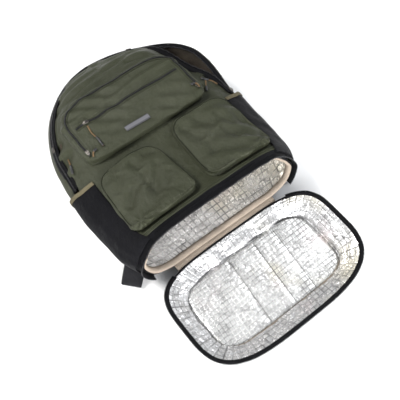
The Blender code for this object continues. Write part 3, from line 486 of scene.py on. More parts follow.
TAUPE = (0.052, 0.042, 0.031)
TAUPE_LIGHT = (0.120, 0.100, 0.078)
TAUPE_DEEP = (0.016, 0.013, 0.010)
LINING_SLACK = 0.0034
LINING_WALL = 0.0008
LINING_FOOT = 0.176
taupe_cloth = woven("taupe lining", TAUPE_DEEP, TAUPE, TAUPE_LIGHT, pitch=0.0007, rough=0.70)


def lining_folds(p):
    crumple = soft_ridges(p.x + p.z, p.y - p.z, math.radians(50), 0.014, 11.0) * 0.0034
    return min(0.0018, ripple(p.x, p.y, p.z, 26, 8.0) * 0.0060 + crumple - 0.0012)


lining_stations = [s for s in body_stations if s.edge_y > LINING_FOOT]
for word, levels in (("front", front_levels), ("back", back_levels)):
    lining_grid = [[body_place(s, level) for level in levels] for s in lining_stations]
    lining = cloth(f"lining_{word}", lining_grid, LINING_WALL, taupe_cloth, BODY_INSIDE,
                   folds=lining_folds, sink=SHELL_WALL + LINING_SLACK)
    fit(lining, "lining_cloth", "main_lining")

# Bottom band: near-black plain cloth sewn round the cooler, with two rows of piping
# where it meets the olive cloth.

BLACK = (0.0035, 0.0035, 0.0046)
BLACK_WORN = (0.0100, 0.0100, 0.0124)
BLACK_DEEP = (0.0020, 0.0020, 0.0026)
black_cloth = woven("black cloth", BLACK_DEEP, BLACK, BLACK_WORN, pitch=0.0009, slant=0.0,
                    rough=0.66, sheen=0.04)

PIPING_RADIUS = 0.0011
ring_levels = np.linspace(0, MIDDLE, 91)


def section(y, depth=0.0, levels=ring_levels):
    """Closed loop round the bag at one height, sunk inward by a depth."""
    right = [body_place(side_station(y, 1), level) for level in levels]
    left = [body_place(side_station(y, -1), level) for level in levels]
    loop = np.array(right + left[-2:0:-1])
    ahead = np.roll(loop, -1, axis=0) - np.roll(loop, 1, axis=0)
    inward = np.stack([-ahead[:, 2], np.zeros(len(loop)), ahead[:, 0]], axis=1)
    inward /= np.linalg.norm(inward, axis=1, keepdims=True)
    return loop + inward * depth


def band_folds(p):
    along = soft_ridges(p.x, p.y, 0.0, 0.012, 12.0) * 0.0006
    return along + ripple(p.x, p.y, p.z, 22, 13.0) * 0.0012


band_grid = [section(y) for y in np.linspace(MOUTH_Y, BAND_LENGTH, 14)]
band = cloth("bottom_band", band_grid, SHELL_WALL, black_cloth, BODY_INSIDE, closed=True,
             folds=band_folds)
fit(band, "black_cloth", "bottom_band")


def swept(name, path, profile, ups, finish, closed=False, corner=50, taper=None):
    """A flat or round bar along a path. The profile is points (across, up) in metres."""
    path = [Vector(p) for p in path]
    count = len(path)
    rows = []
    for i, (place, up) in enumerate(zip(path, ups)):
        before = path[i - 1] if (closed or i) else path[0]
        after = path[(i + 1) % count] if (closed or i < count - 1) else path[-1]
        ahead = (after - before).normalized()
        side = ahead.cross(Vector(up)).normalized()
        top = side.cross(ahead)
        size = taper(i / (count - 1)) if taper else 1.0
        rows.append([place + side * (a * size) + top * (b * size) for a, b in profile])
    bm = bmesh.new()
    thread = bm.loops.layers.uv.new("Thread")
    made = [[bm.verts.new(p) for p in row] for row in rows]
    wide = len(profile)
    girth = np.cumsum([0] + [math.dist(profile[k], profile[(k + 1) % wide])
                             for k in range(wide)])
    run = np.cumsum([0] + [(path[(k + 1) % count] - path[k]).length for k in range(count)])
    for i in range(count if closed else count - 1):
        low, high = made[i], made[(i + 1) % count]
        for k in range(wide):
            n = (k + 1) % wide
            face = bm.faces.new((low[k], low[n], high[n], high[k]))
            for loop, spot in zip(face.loops, ((run[i], girth[k]), (run[i], girth[k + 1]),
                                               (run[i + 1], girth[k + 1]),
                                               (run[i + 1], girth[k]))):
                loop[thread].uv = spot
    if not closed:
        bm.faces.new(made[0])
        bm.faces.new(made[-1])
    bmesh.ops.recalc_face_normals(bm, faces=bm.faces)
    mesh = bpy.data.meshes.new(name)
    bm.to_mesh(mesh)
    bm.free()
    return shown(name, mesh, finish, corner)


def round_bar(radius, sides=8, flat=1.0):
    return [(radius * math.cos(2 * math.pi * k / sides),
             radius * flat * math.sin(2 * math.pi * k / sides)) for k in range(sides)]


def tape_bar(width, thick, sag=0.0):
    """Section of a tape with soft edges, lying on its base."""
    half = width / 2
    return [(-half, thick * 0.25), (-half * 0.94, thick), (0, thick + sag),
            (half * 0.94, thick), (half, thick * 0.25), (half * 0.94, 0), (0, sag * 0.5),
            (-half * 0.94, 0)]


whole_levels = np.linspace(0, MIDDLE, 70)
whole_stations = stations_from(MOUTH_Y, 50)


def tree_of_mesh(mesh, shift=0.0):
    return BVHTree.FromPolygons([v.co + Vector((0, shift, 0)) for v in mesh.vertices],
                                [p.vertices[:] for p in mesh.polygons])


whole_sheet = sheet_of([[body_place(s, level) for level in whole_levels]
                        for s in whole_stations], BODY_INSIDE, folds=front_folds)
body_tree = tree_of_mesh(whole_sheet)


def lying_on(tree, x, y, lift=0.0):
    """The place on a surface straight under a point of the plan, and its normal."""
    place, normal, _, _ = tree.ray_cast(Vector((x, y, 1.0)), Vector((0, 0, -1)))
    if normal.z < 0:
        normal = -normal
    return place + normal * lift, normal


def piping_line(y, level_from=6.4, count=90):
    levels = np.concatenate([np.linspace(level_from, MIDDLE, count // 2),
                             np.linspace(MIDDLE, level_from, count // 2)[1:]])
    sides = [1] * (count // 2) + [-1] * (count // 2 - 1)
    places = [body_place(side_station(y, side), level) for side, level in zip(sides, levels)]
    return [lying_on(body_tree, p.x, p.y) for p in places]


def laid_bar(name, laid, profile, finish):
    """A bar along places on a surface, each with its normal."""
    places, normals = zip(*laid)
    return swept(name, places, profile, normals, finish)


for k, y in enumerate((BAND_LENGTH + 0.0004, BAND_LENGTH + 0.0085)):
    fit(laid_bar(f"piping_{k + 1}", piping_line(y), round_bar(PIPING_RADIUS), olive_cloth),
        "olive_cloth")

# Main zip: two black tapes with their coils, closed up the left side and over the top,
# and parted at the right, where the back half of the bag stands off the front.

ZIP_WIDTH = 0.0085
TAPE = 0.0012
SEAT = 0.0008
GAP = 0.0003
TAPE_TURN = 0.40
COIL_PITCH = 0.0016
tape_cloth = woven("zip tape", (0.0015, 0.0015, 0.002), (0.0030, 0.0030, 0.0036),
                   (0.0080, 0.0080, 0.0096), pitch=0.0008, slant=0.0, rough=0.58)
COIL_TOOTH = (0.0012, 0.0030, 0.0016)
coil_nylon = Finish("zip coil", Base_Color=(0.010, 0.010, 0.012, 1), Roughness=0.32).material


def bead_tree(name, finish):
    """Beads set along a line at an even pitch: the teeth of a coil, or stitches."""
    tree = bpy.data.node_groups.new(name, "GeometryNodeTree")
    tree.interface.new_socket("Line", in_out="INPUT", socket_type="NodeSocketGeometry")
    for key in ("Pitch", "Length", "Width", "Height"):
        tree.interface.new_socket(key, in_out="INPUT", socket_type="NodeSocketFloat")
    tree.interface.new_socket("Beads", in_out="OUTPUT", socket_type="NodeSocketGeometry")

    def node(kind, settings=None, **links):
        made = tree.nodes.new(kind)
        for key, value in (settings or {}).items():
            setattr(made, key, value)
        for key, value in links.items():
            socket = made.inputs[key.replace("_", " ")]
            if isinstance(value, bpy.types.NodeSocket):
                tree.links.new(value, socket)
            else:
                socket.default_value = value
        return made

    given = node("NodeGroupInput").outputs
    line = node("GeometryNodeMeshToCurve", Mesh=given["Line"])
    even = node("GeometryNodeResampleCurve", {"mode": "LENGTH"}, Curve=line.outputs["Curve"],
                Length=given["Pitch"])
    bead = node("GeometryNodeMeshUVSphere", Segments=6, Rings=4, Radius=0.5)
    size = node("ShaderNodeCombineXYZ", X=given["Length"], Y=given["Width"],
                Z=given["Height"])
    sized = node("GeometryNodeTransform", Geometry=bead.outputs["Mesh"],
                 Scale=size.outputs["Vector"])
    ahead = node("GeometryNodeInputTangent")
    up = node("GeometryNodeInputNamedAttribute", {"data_type": "FLOAT_VECTOR"}, Name="up")
    turn = node("FunctionNodeAlignRotationToVector", {"axis": "X"},
                Vector=ahead.outputs["Tangent"])
    stand = node("FunctionNodeAlignRotationToVector", {"axis": "Z", "pivot_axis": "X"},
                 Rotation=turn.outputs["Rotation"], Vector=up.outputs["Attribute"])
    beads = node("GeometryNodeInstanceOnPoints", Points=even.outputs["Curve"],
                 Instance=sized.outputs["Geometry"], Rotation=stand.outputs["Rotation"])
    real = node("GeometryNodeRealizeInstances", Geometry=beads.outputs["Instances"])
    painted = node("GeometryNodeSetMaterial", Geometry=real.outputs["Geometry"],
                   Material=finish)
    node("NodeGroupOutput", Beads=painted.outputs["Geometry"])
    return tree


def beads(name, path, ups, tree, pitch, length, width, height):
    """A row of beads along a line of points that lies on a surface."""
    mesh = bpy.data.meshes.new(name)
    mesh.from_pydata([tuple(p) for p in path], [(k, k + 1) for k in range(len(path) - 1)], [])
    up = mesh.attributes.new("up", "FLOAT_VECTOR", "POINT")
    up.data.foreach_set("vector", [c for n in ups for c in n])
    made = bpy.data.objects.new(name, mesh)
    bpy.context.scene.collection.objects.link(made)
    grown = made.modifiers.new("beads", "NODES")
    grown.node_group = tree
    sizes = {"Pitch": pitch, "Length": length, "Width": width, "Height": height}
    for item in tree.interface.items_tree:
        if item.name in sizes:
            grown[item.identifier] = sizes[item.name]
    plain(made)
    made.data.shade_smooth()
    return made


coil_tree = bead_tree("coil teeth", coil_nylon)


def coil_row(name, path, ups, pitch=COIL_PITCH, tooth=COIL_TOOTH):
    """A zip's coil along the edge of its tape."""
    return fit(beads(name, path, ups, coil_tree, pitch, *tooth), "zip")


ZIP_FOOT = 0.183
zip_stations = stations_from(ZIP_FOOT, 12)
ZIP_CENTRE = Vector((0, ARCH_START, BACK_LEVEL + BODY_DEPTH / 2))
zip_levels = {"back": (ZIP_BACK, ZIP_FRONT, ZIP_BACK - 0.6),
              "front": (ZIP_FRONT, ZIP_BACK, ZIP_FRONT + 0.6)}
zip_edges = {}
for word, levels in zip_levels.items():
    lines = [[body_place(s, level) for s in zip_stations] for level in levels]
    rows, teeth, stands = [], [], []
    for i, (edge, other, inner) in enumerate(zip(*lines)):
        ahead = (lines[0][min(i + 1, len(lines[0]) - 1)] - lines[0][max(i - 1, 0)]).normalized()
        onward = (edge - inner).normalized()
        across = (other - edge).normalized()
        turned_out = max(0.0, TAPE_TURN - across.dot(onward))
        across = (across + onward * turned_out).normalized()
        out = ahead.cross(across + onward).normalized()
        if out.dot(edge - ZIP_CENTRE) < 0:
            out = -out
        lift = SEAT * (1 + 0.9 * ease(zip_stations[i].gape / 0.08))
        reach = min(ZIP_WIDTH, (other - edge).length / 2 - GAP)
        low = edge - onward * 0.0030 + out * lift
        turn = edge + out * (lift + 0.0004)
        far = edge + across * reach + out * lift
        wave = 0.0005 * math.sin(i * 1.9) * ease(zip_stations[i].gape * 3)
        rows.append([low, turn, turn.lerp(far, 0.5) + out * wave, far + out * wave])
        teeth.append(far + out * (TAPE * 0.5 + wave))
        stands.append(out)
    tape = cloth(f"main_zip_tape_{word}", rows, TAPE * 0.8, tape_cloth, ZIP_CENTRE)
    fit(tape, "zip", f"main_zip_{word}")
    coil_row(f"main_zip_coil_{word}", teeth, stands)
    zip_edges[word] = teeth

# Seams: rows of lock stitches in olive thread along both sides of the main zip, sewn by
# machine through the tape and the body's cloth and sunk a little in it.

thread_olive = Finish("olive thread", Base_Color=(0.075, 0.078, 0.052, 1),
                      Roughness=0.7).material
olive_stitches = bead_tree("olive stitches", thread_olive)
STITCH_PITCH = 0.0034
STITCH = (0.0025, 0.0006, 0.0005)
UP = (0, 0, 1)


def stitched(name, laid, tree=olive_stitches, slot="olive_cloth"):
    """A row of stitches along places on a surface, each with its normal."""
    places, normals = zip(*laid)
    return fit(beads(name, places, normals, tree, STITCH_PITCH, *STITCH), slot)


for word, level, step in (("back", ZIP_BACK, -0.30), ("front", ZIP_FRONT, 0.28)):
    places = [body_place(s, level + step) for s in zip_stations]
    laid = []
    for p in places:
        spot, normal, _, _ = body_tree.find_nearest(p)
        if normal.dot(spot - ZIP_CENTRE) < 0:
            normal = -normal
        laid.append((spot + normal * 0.0004, normal))
    stitched(f"main_zip_stitches_{word}", laid)

# Cooler: metallised film on foam, a deep cup whose closed end divides it from the main
# compartment. A fine grid is welded into the film, which is crinkled all over.

LINER_WALL = 0.006
LINER_CLEAR = 0.0016
COOLER_DEPTH = 0.168
GRID_PITCH = 0.0062


def foil_finish(name, tint=(0.80, 0.80, 0.79), grid=GRID_PITCH, crinkle=1.0):
    """Bright film with welded grid lines, sharp crinkles and a few warm stains, darkened along the
    crinkles' creases by painted dark reflections.
    """
    foil = Finish(name, Specular_IOR_Level=0.6)
    lines = None
    for run, pitch in ((foil.along, grid), (foil.across, grid)):
        bend = foil.patches(26.0, 1.0) * 0.16
        off = ((run / pitch + bend).part() - 0.5).size() * 2.0
        line = off.step(0.74, 0.93)
        lines = line if lines is None else lines.worked("MAXIMUM", lines, line)
    worn = foil.patches(34.0, 3.0).step(0.40, 0.62)
    drawn = lines * (worn * 0.55 + 0.40)
    sharp = (foil.patches(21.0, 3.0, roughness=0.6) - 0.5).size().step(0.0, 0.030)
    fine = (foil.patches(58.0, 2.0, roughness=0.6) - 0.5).size().step(0.0, 0.045)
    broad = foil.patches(34.0, 3.0, roughness=0.55)
    crumple = broad * 1.5 + sharp * 0.22 + fine * 0.14
    stain = foil.patches(9.0, 3.0).step(0.52, 0.72)
    pink = foil.patches(15.0, 2.0, where=foil.node(
        "ShaderNodeVectorMath", {"operation": "ADD"},
        {0: foil.place, 1: (3.1, 1.7, 0.4)})["Vector"]).step(0.58, 0.74)
    shade = foil.colours(stain * 0.60, tint, (0.90, 0.84, 0.66))
    shade = foil.colours(pink * 0.35, shade, (0.86, 0.70, 0.72))
    # Painted dark reflections: the film is darkened along the crinkles' sharp and fine creases.
    shade = foil.colours((1 - sharp) * 0.34 + (1 - fine) * 0.26, shade, (0.14, 0.135, 0.14))
    shade = foil.colours(drawn * 0.86, shade, (0.08, 0.078, 0.08))
    first = foil.relief(crumple, 0.0017 * crinkle, 0.85)
    return foil.show(Base_Color=shade, Metallic=broad * 0.3 + 0.55,
                     Roughness=broad * 0.22 + drawn * 0.20 + 0.16,
                     Normal=foil.relief(1 - lines, 0.0005, 0.7, first))


# The cooler's cup, the tray's walls and its floor are one film, tinted differently for their
# light: the cup's lighter tint is painted light in the shaded cavity.
cup_foil = foil_finish("cooler foil", (0.88, 0.87, 0.86), grid=0.0105, crinkle=0.6)
cup_depth = SHELL_WALL + LINER_CLEAR + LINER_WALL
rim_y = MOUTH_Y - GAP


def crinkled(p, seed=0.0, size=1.0):
    """Folds of the film: sharp creases between soft swells."""
    q = Vector((p.x, p.y, p.z))
    swell = noise.noise(q * 34 + Vector((seed, 0, 0))) * 0.0021
    crease = (0.5 - abs(noise.noise(q * 62 + Vector((0, seed, 0))))) * 0.0022
    fine = (0.5 - abs(noise.noise(q * 140 + Vector((0, 0, seed))))) * 0.0008
    return (swell + crease + fine - 0.0015) * size


def cup_folds(p):
    sag = math.sin(math.pi * min(max(p.y / COOLER_DEPTH, 0), 1)) * 0.0012
    return -crinkled(p, 3.0) * ease((p.y - 0.004) / 0.02) + sag


END_BULGE = 0.0012
cup_grid = [section(y, cup_depth) for y in np.linspace(rim_y, COOLER_DEPTH, 64)]
end = section(COOLER_DEPTH, cup_depth)
middle = end.mean(axis=0)
for share in (0.97, 0.90, 0.78, 0.60, 0.42, 0.24, 0.10, 0.02):
    bulge = END_BULGE * (1 - share * share)
    cup_grid.append(middle + (end - middle) * share + np.array([0, bulge, 0]))
cup = cloth("cooler_foil", cup_grid[::-1], 0.0012, cup_foil, (0.0, 0.08, 0.06), closed=True,
            cap=True, folds=cup_folds, corner=70)
fit(cup, "foil", "cooler_liner")

# Rim of the cooler: beige ribbed binding over the cut edge of the liner, and outside it
# the black tape of the cooler's zip, whose slider is parked at the hinge.

BINDING_PROUD = 0.0024
COOLER_ZIP_WIDTH = 0.0085
BEIGE = (0.290, 0.235, 0.185)
beige_tape = woven("beige binding", (0.200, 0.160, 0.125), BEIGE, (0.460, 0.400, 0.340),
                   pitch=0.0016, slant=0.0, rough=0.72, relief=0.0003)
rim_inner = section(rim_y, cup_depth + TAPE)
rim_outer = section(rim_y, SHELL_WALL + LINER_CLEAR)
binding_rows, edge_rows = [], []
for inner, outer in zip(rim_inner, rim_outer):
    across = outer - inner
    proud = np.array([0, -BINDING_PROUD, 0])
    back = np.array([0, 0.0068, 0])
    binding_rows.append([inner + back - across * 0.02, inner + back * 0.4 - across * 0.06,
                         inner + proud * 0.3 - across * 0.03, inner + across * 0.2 + proud * 0.9,
                         inner + across * 0.45 + proud, inner + across * 0.52 + proud * 0.4])
    edge_rows.append([inner + across * 0.46 + proud * 0.8, inner + across * 0.60 + proud,
                      inner + across * 0.85 + proud * 0.9, outer + proud * 0.3,
                      outer + back * 0.3])
binding_grid = np.array(binding_rows).transpose(1, 0, 2)
binding = cloth("cooler_binding", binding_grid, 0.0009, beige_tape, (0.0, 0.03, 0.06),
                closed=True)
fit(binding, "binding_tape", "cooler_binding")
mouth_edge = cloth("mouth_edge", np.array(edge_rows).transpose(1, 0, 2), 0.0007, black_cloth,
                   (0.0, 0.03, 0.06), closed=True)
fit(mouth_edge, "black_cloth")

rim_line = section(rim_y)
rim_start = int(len(ring_levels) * BACK_ROUND / MIDDLE)
rim_span = slice(rim_start, len(rim_line) - rim_start + 1)
rim_out = (rim_line - section(rim_y, 0.01)) / 0.01
zip_rows, zip_line, zip_ups = [], [], []
for place, out in zip(rim_line[rim_span], rim_out[rim_span]):
    droop = 0.0006 * math.sin(place[0] * 190)
    thin = out * -TAPE
    low = place + thin * 0.4
    far = place + np.array([0, -COOLER_ZIP_WIDTH, 0]) + out * (0.0015 + droop)
    zip_rows.append([low + np.array([0, 0.004, 0]), low, low * 0.5 + far * 0.5, far])
    zip_line.append(far)
    zip_ups.append(out)
rim_tape = cloth("cooler_zip_tape", zip_rows, TAPE * 0.8, tape_cloth, (0.0, 0.05, 0.06))
fit(rim_tape, "black_cloth", "cooler_zip_tape")
coil_row("cooler_zip_coil", zip_line, zip_ups)

# Tray: a shallow padded lid that has hinged out onto the floor. Black cloth outside,
# crinkled film inside, a quilted film floor, and the zip's tape round three sides.

TRAY_CENTRE_X = 0.002
TRAY_CENTRE_Y = -0.10
FLOOR_PLAN = (0.127, 0.036, 0.167)
RIM_PLAN = (0.156, 0.010, 0.196)
RIM_HEIGHT = 0.042
FLOOR_POWER = 4.6
RIM_POWERS = (4.0, 3.4)
RIM_RIGHT, RIM_LEFT, RIM_NEAR, RIM_FAR = 1.00, 0.80, 0.60, 0.72
FOIL_LEVEL = 0.0050
TrayRow = namedtuple("TrayRow", "size reach rise")
FOIL_ROWS = [
    TrayRow(0.20, 0.00, 0.00), TrayRow(0.60, 0.00, 0.00), TrayRow(0.90, 0.00, 0.00),
    TrayRow(1.00, 0.03, 0.00), TrayRow(1.00, -0.03, 0.17), TrayRow(1.00, -0.01, 0.34),
    TrayRow(1.00, 0.25, 0.54), TrayRow(1.00, 0.62, 0.80), TrayRow(1.00, 0.94, 1.00),
]
SHELL_ROWS = [
    TrayRow(0.45, 0.00, 0.00), TrayRow(0.85, 0.06, 0.00), TrayRow(1.00, 0.10, 0.00),
    TrayRow(1.00, 0.45, 0.14), TrayRow(1.00, 0.80, 0.50), TrayRow(1.00, 1.06, 1.00),
]
TRAY_TAPE_END = math.radians(147)
TAPE_STEPS = 170


def tray_outline(angle, plan, powers):
    half, near, far = plan
    c, s = math.cos(angle), math.sin(angle)
    exponent = 2 / powers[0 if s >= 0 else 1]
    return Vector((TRAY_CENTRE_X + half * power(c, exponent),
                   -(near + far) / 2 + (far - near) / 2 * power(s, exponent), 0))


def rim_height(angle):
    c, s = math.cos(angle), math.sin(angle)
    return RIM_HEIGHT * mix(RIM_RIGHT if c > 0 else RIM_LEFT,
                            RIM_NEAR if s > 0 else RIM_FAR, s * s)


def tray_point(angle, row, base):
    floor = tray_outline(angle, FLOOR_PLAN, (FLOOR_POWER, FLOOR_POWER))
    rim = tray_outline(angle, RIM_PLAN, RIM_POWERS)
    centre = Vector((TRAY_CENTRE_X, -(FLOOR_PLAN[1] + FLOOR_PLAN[2]) / 2, 0))
    place = centre + (floor.lerp(rim, row.reach) - centre) * row.size
    place.z = base + row.rise * (rim_height(angle) - base)
    return place


def tray_grid(rows, base, count=240, per_row=7):
    """Rows of points round the tray, smooth between the given rows."""
    smooth = curve_through(range(len(rows)), rows)
    steps = [k / per_row for k in range((len(rows) - 1) * per_row + 1)]
    angles = even_angles(count)
    return [[tray_point(a, TrayRow(*smooth(step)), base) for a in angles] for step in steps]


def even_angles(count):
    """Angles whose points on the tray's rim lie at even steps."""
    fine = np.linspace(0, 2 * math.pi, 721)
    spots = [tray_point(a, TrayRow(1, 0.5, 0.5), FOIL_LEVEL).xy for a in fine]
    run = np.concatenate([[0], np.cumsum([(q - p).length for p, q in zip(spots, spots[1:])])])
    return np.interp(np.linspace(0, run[-1], count, endpoint=False), run, fine)


TRAY_MIDDLE = Vector((TRAY_CENTRE_X, TRAY_CENTRE_Y, 0.10))


def tray_folds(p):
    """The near wall bulges and every corner puckers."""
    out = Vector((p.x - TRAY_CENTRE_X, (p.y - TRAY_CENTRE_Y) * 1.45, 0))
    corner = ease((out.length - 0.150) / 0.03)
    near = math.exp(-((p.y + 0.030) / 0.014) ** 2)
    wave = math.sin(p.x * 120 + 3 * noise.noise(Vector((p.x * 20, 0, 2)))) * 0.0016
    pucker = soft_ridges(p.x, p.y, math.atan2(out.y, out.x + 1e-6), 0.011, 21.0) * 0.0012
    rim = 1 - ease((p.z - rim_at(p) + 0.006) / 0.005)
    return (crinkled(p, 15.0, 0.9) + wave * near + pucker * corner) * rim


def rim_at(p):
    return rim_height(math.atan2((p.y - TRAY_CENTRE_Y) / 0.093,
                                 (p.x - TRAY_CENTRE_X) / RIM_PLAN[0]))


# Tinted darker than the cup's copy of the same film: painted shade.
wall_foil = foil_finish("tray foil", (0.70, 0.70, 0.705), grid=0.0088)
liner_rows = FOIL_ROWS[::-1]
tray_liner = cloth("tray_foil", tray_grid(liner_rows, FOIL_LEVEL), 0.0009, wall_foil,
                   TRAY_MIDDLE, closed=True, folds=lambda p: -tray_folds(p), outward=True,
                   corner=70)
fit(tray_liner, "foil", "tray_liner")

shell_grid = tray_grid(SHELL_ROWS, 0.0)
shell_grid = [[Vector((p.x, p.y, max(p.z, 0.0004))) for p in row] for row in shell_grid]


def tray_shell_folds(p):
    return ripple(p.x, p.y, p.z, 24, 31.0) * 0.0012 * ease(p.z / 0.01)


tray_shell = cloth("tray_cloth", shell_grid[::-1], 0.0032, black_cloth, TRAY_MIDDLE,
                   closed=True, folds=tray_shell_folds, corner=60)
fit(tray_shell, "black_cloth", "tray_shell")

# Quilted floor: a thin padded panel, three seams sewn across it and a tan crease where
# it meets the far wall.

PANEL_LOW = FOIL_LEVEL + GAP
PANEL_THICK = 0.003
QUILT_SEAMS = [-0.0290, 0.0230, 0.0640]
QUILT_TURN = 0.10
SEAM_ENDS = (-0.162, -0.043)
PANEL_HALF = (0.126, 0.064)
PANEL_Y = -0.1015
PANEL_LEAST = 0.0003
CREASE_ENDS = (math.radians(212), math.radians(328))
# Tinted darker than the cup's copy of the same film: painted shade.
panel_foil = foil_finish("floor foil", (0.76, 0.76, 0.75), grid=0.0076, crinkle=0.55)


def seam_distance(p):
    """Distance in the plan to the nearest quilting seam."""
    return min(abs(p.x - (x + QUILT_TURN * (p.y - TRAY_CENTRE_Y))) for x in QUILT_SEAMS)


panel_rows = []
for size in np.linspace(0.03, 1.0, 34):
    panel_rows.append([tray_point(a, TrayRow(size, -0.075, 0.0), PANEL_LOW)
                       for a in even_angles(220)])


def floor_height(p):
    edge = max(abs(p.x - TRAY_CENTRE_X) / PANEL_HALF[0], abs(p.y - PANEL_Y) / PANEL_HALF[1])
    swell = ease((1.0 - edge) / 0.06)
    seam = math.exp(-(seam_distance(p) / 0.0045) ** 2)
    fine = crinkled(p, 41.0, 0.42)
    return PANEL_THICK * swell * (1 - 0.28 * seam) + max(fine, -0.0008) * swell


for row in panel_rows:
    for p in row:
        p.z = PANEL_LOW + max(PANEL_LEAST, floor_height(p))
floor_panel = cloth("floor_panel", panel_rows, 0.0006, panel_foil, (0.0, -0.10, -0.5),
                    closed=True, cap=True, corner=70)
for loop in floor_panel.data.loops:
    spot = floor_panel.data.vertices[loop.vertex_index].co
    floor_panel.data.uv_layers["Thread"].data[loop.index].uv = (
        spot.x - QUILT_TURN * (spot.y - TRAY_CENTRE_Y), spot.y)
fit(floor_panel, "foil", "tray_floor")

# Dark thread for the quilting stitches, also used for the painted seam shade below.
grey_thread_and_seam_shade = Finish("grey thread and seam shade", Base_Color=(0.055, 0.052, 0.050, 1), Roughness=0.6).material
grey_stitches = bead_tree("grey stitches", grey_thread_and_seam_shade)
for k, x in enumerate(QUILT_SEAMS):
    seam = []
    for y in np.linspace(*SEAM_ENDS, 60):
        p = Vector((x + QUILT_TURN * (y - TRAY_CENTRE_Y), y, 0))
        seam.append(Vector((p.x, y, PANEL_LOW + max(PANEL_LEAST, floor_height(p)) + GAP)))
    stitched(f"quilt_seam_{k + 1}", [(p, UP) for p in seam], grey_stitches, "foil")
    # Each seam also gets a continuous dark bar: painted shade along the quilting valley, in the
    # stitches' thread colour.
    fit(swept(f"quilt_seam_shade_line_{k + 1}", seam, round_bar(0.0005, 6), [UP] * len(seam),
              grey_thread_and_seam_shade), "foil")

crease_line = []
for angle in np.linspace(*CREASE_ENDS, 60):
    p = tray_point(angle, TrayRow(1.0, -0.050, 0.0), PANEL_LOW)
    crease_line.append(Vector((p.x, p.y, PANEL_LOW + 0.0016)))
tan_seam = swept("tan_seam", crease_line, round_bar(PIPING_RADIUS),
                 [UP] * len(crease_line), beige_tape)
fit(tan_seam, "binding_tape")

tape_rows, tape_teeth = [], []
for k in range(TAPE_STEPS):
    angle = -math.pi / 2 + TRAY_TAPE_END * (1 - 2 * k / (TAPE_STEPS - 1))
    place = tray_point(angle, TrayRow(1.0, 0.94, 1.0), FOIL_LEVEL) + Vector((0, 0, 0.0002))
    out = tray_point(angle, TrayRow(1.0, 1.1, 1.0), FOIL_LEVEL) - place
    out = Vector((out.x, out.y, 0)).normalized()
    wave = Vector((0, 0, 0.0005 * math.sin(k * 0.55)))
    rim = place + out * 0.0022 + Vector((0, 0, 0.0011))
    far = place + out * 0.0056 + Vector((0, 0, 0.0003)) + wave
    tape_rows.append([place - out * 0.0009 - Vector((0, 0, 0.0022)), place, rim,
                      rim.lerp(far, 0.5) + wave * 0.5, far])
    tape_teeth.append(far + Vector((0, 0, 0.0004)))
tray_tape = cloth("tray_zip_tape", tape_rows, TAPE * 0.8, tape_cloth, TRAY_MIDDLE * 0.2)
fit(tray_tape, "black_cloth", "tray_zip_tape")
coil_row("tray_zip_coil", tape_teeth, [UP] * len(tape_teeth))

# Hinge: a strip of ribbed beige tape between the cooler's mouth and the tray's rim, sewn
# along both edges. The tray folds on it.

HINGE_HALF = 0.102


def rim_near_y(x):
    reach = SHELL_ROWS[-1].reach
    half, near, far = (mix(a, b, reach) for a, b in zip(FLOOR_PLAN, RIM_PLAN))
    share = 1 - (abs(x - TRAY_CENTRE_X) / half) ** RIM_POWERS[0]
    return -(near + far) / 2 + (far - near) / 2 * share ** (1 / RIM_POWERS[0])


hinge_mouth = MOUTH_Y - GAP - BINDING_PROUD - GAP
hinge_high = BACK_LEVEL + SHELL_WALL + LINER_CLEAR + LINER_WALL / 2
hinge_rows = []
for x in np.linspace(-HINGE_HALF, HINGE_HALF, 240):
    near = rim_near_y(x) + GAP
    rib = 0.00022 * math.sin(x * 2 * math.pi / 0.0021)
    row = []
    for share in np.linspace(0, 1, 9):
        y = mix(hinge_mouth, near, share)
        z = mix(hinge_high, RIM_NEAR * RIM_HEIGHT, share) + rib
        z += 0.0005 * math.sin(math.pi * share) + 0.0002 * math.sin(x * 60)
        row.append(Vector((x, y, z)))
    hinge_rows.append(row)
hinge = cloth("hinge_tape", hinge_rows, 0.0014, beige_tape, (0.0, -0.003, -0.5))
fit(hinge, "binding_tape", "hinge_strip")

# Back: a padded mesh panel and two padded shoulder straps, pressed flat under the bag,
# with webbing loops through their buckles that come out at the bottom corners.

PANEL_LEVEL = 0.0076
PANEL_THICKNESS = 0.0110
PANEL_FOOT = 0.012
BACK_ROWS = [(0.86, 0.06), (0.50, 0.03), (0.27, 0.02), (0.245, 0.06), (0.215, 0.25),
             (0.205, 0.5), (0.215, 0.75), (0.245, 0.94), (0.27, 0.98), (0.50, 0.98),
             (0.86, 0.98)]
STRAP_THICKNESS = 0.0070
STRAP_WIDTH = 0.062
WEBBING = 0.0018
WEBBING_WIDTH = 0.032
BUCKLE_LENGTH = 0.030
BUCKLE_CLEAR = 0.003
LOOP_LENGTH = 0.115
LOOP_HIDDEN = 0.036
STRAP_TURN = 0.014
BEND = 0.0045
STRAP_PLAN = [(-0.045, 0.355), (-0.060, 0.290), (-0.064, 0.220), (-0.050, 0.165)]
CORNER = Vector((-0.172, 0.0215, 0))
CORNER_DIRECTION = Vector((-0.74, -0.67, 0)).normalized()
mesh_cloth = woven("padded mesh", (0.004, 0.004, 0.005), (0.010, 0.010, 0.012),
                   (0.030, 0.030, 0.034), pitch=0.0024, slant=1.0, rough=0.75, relief=0.0004)
webbing_cloth = woven("webbing", (0.004, 0.004, 0.005), (0.0090, 0.0090, 0.0105),
                      (0.030, 0.030, 0.033), pitch=0.0016, slant=0.0, rough=0.55,
                      relief=0.0002)


def smooth_path(points, count):
    """Even steps along a smooth curve through points."""
    points = [Vector(p) for p in points]
    at = np.concatenate([[0], np.cumsum([(q - p).length for p, q in zip(points, points[1:])])])
    curve = curve_through(at, [tuple(p) for p in points])
    return [Vector(curve(w)) for w in np.linspace(0, at[-1], count)]


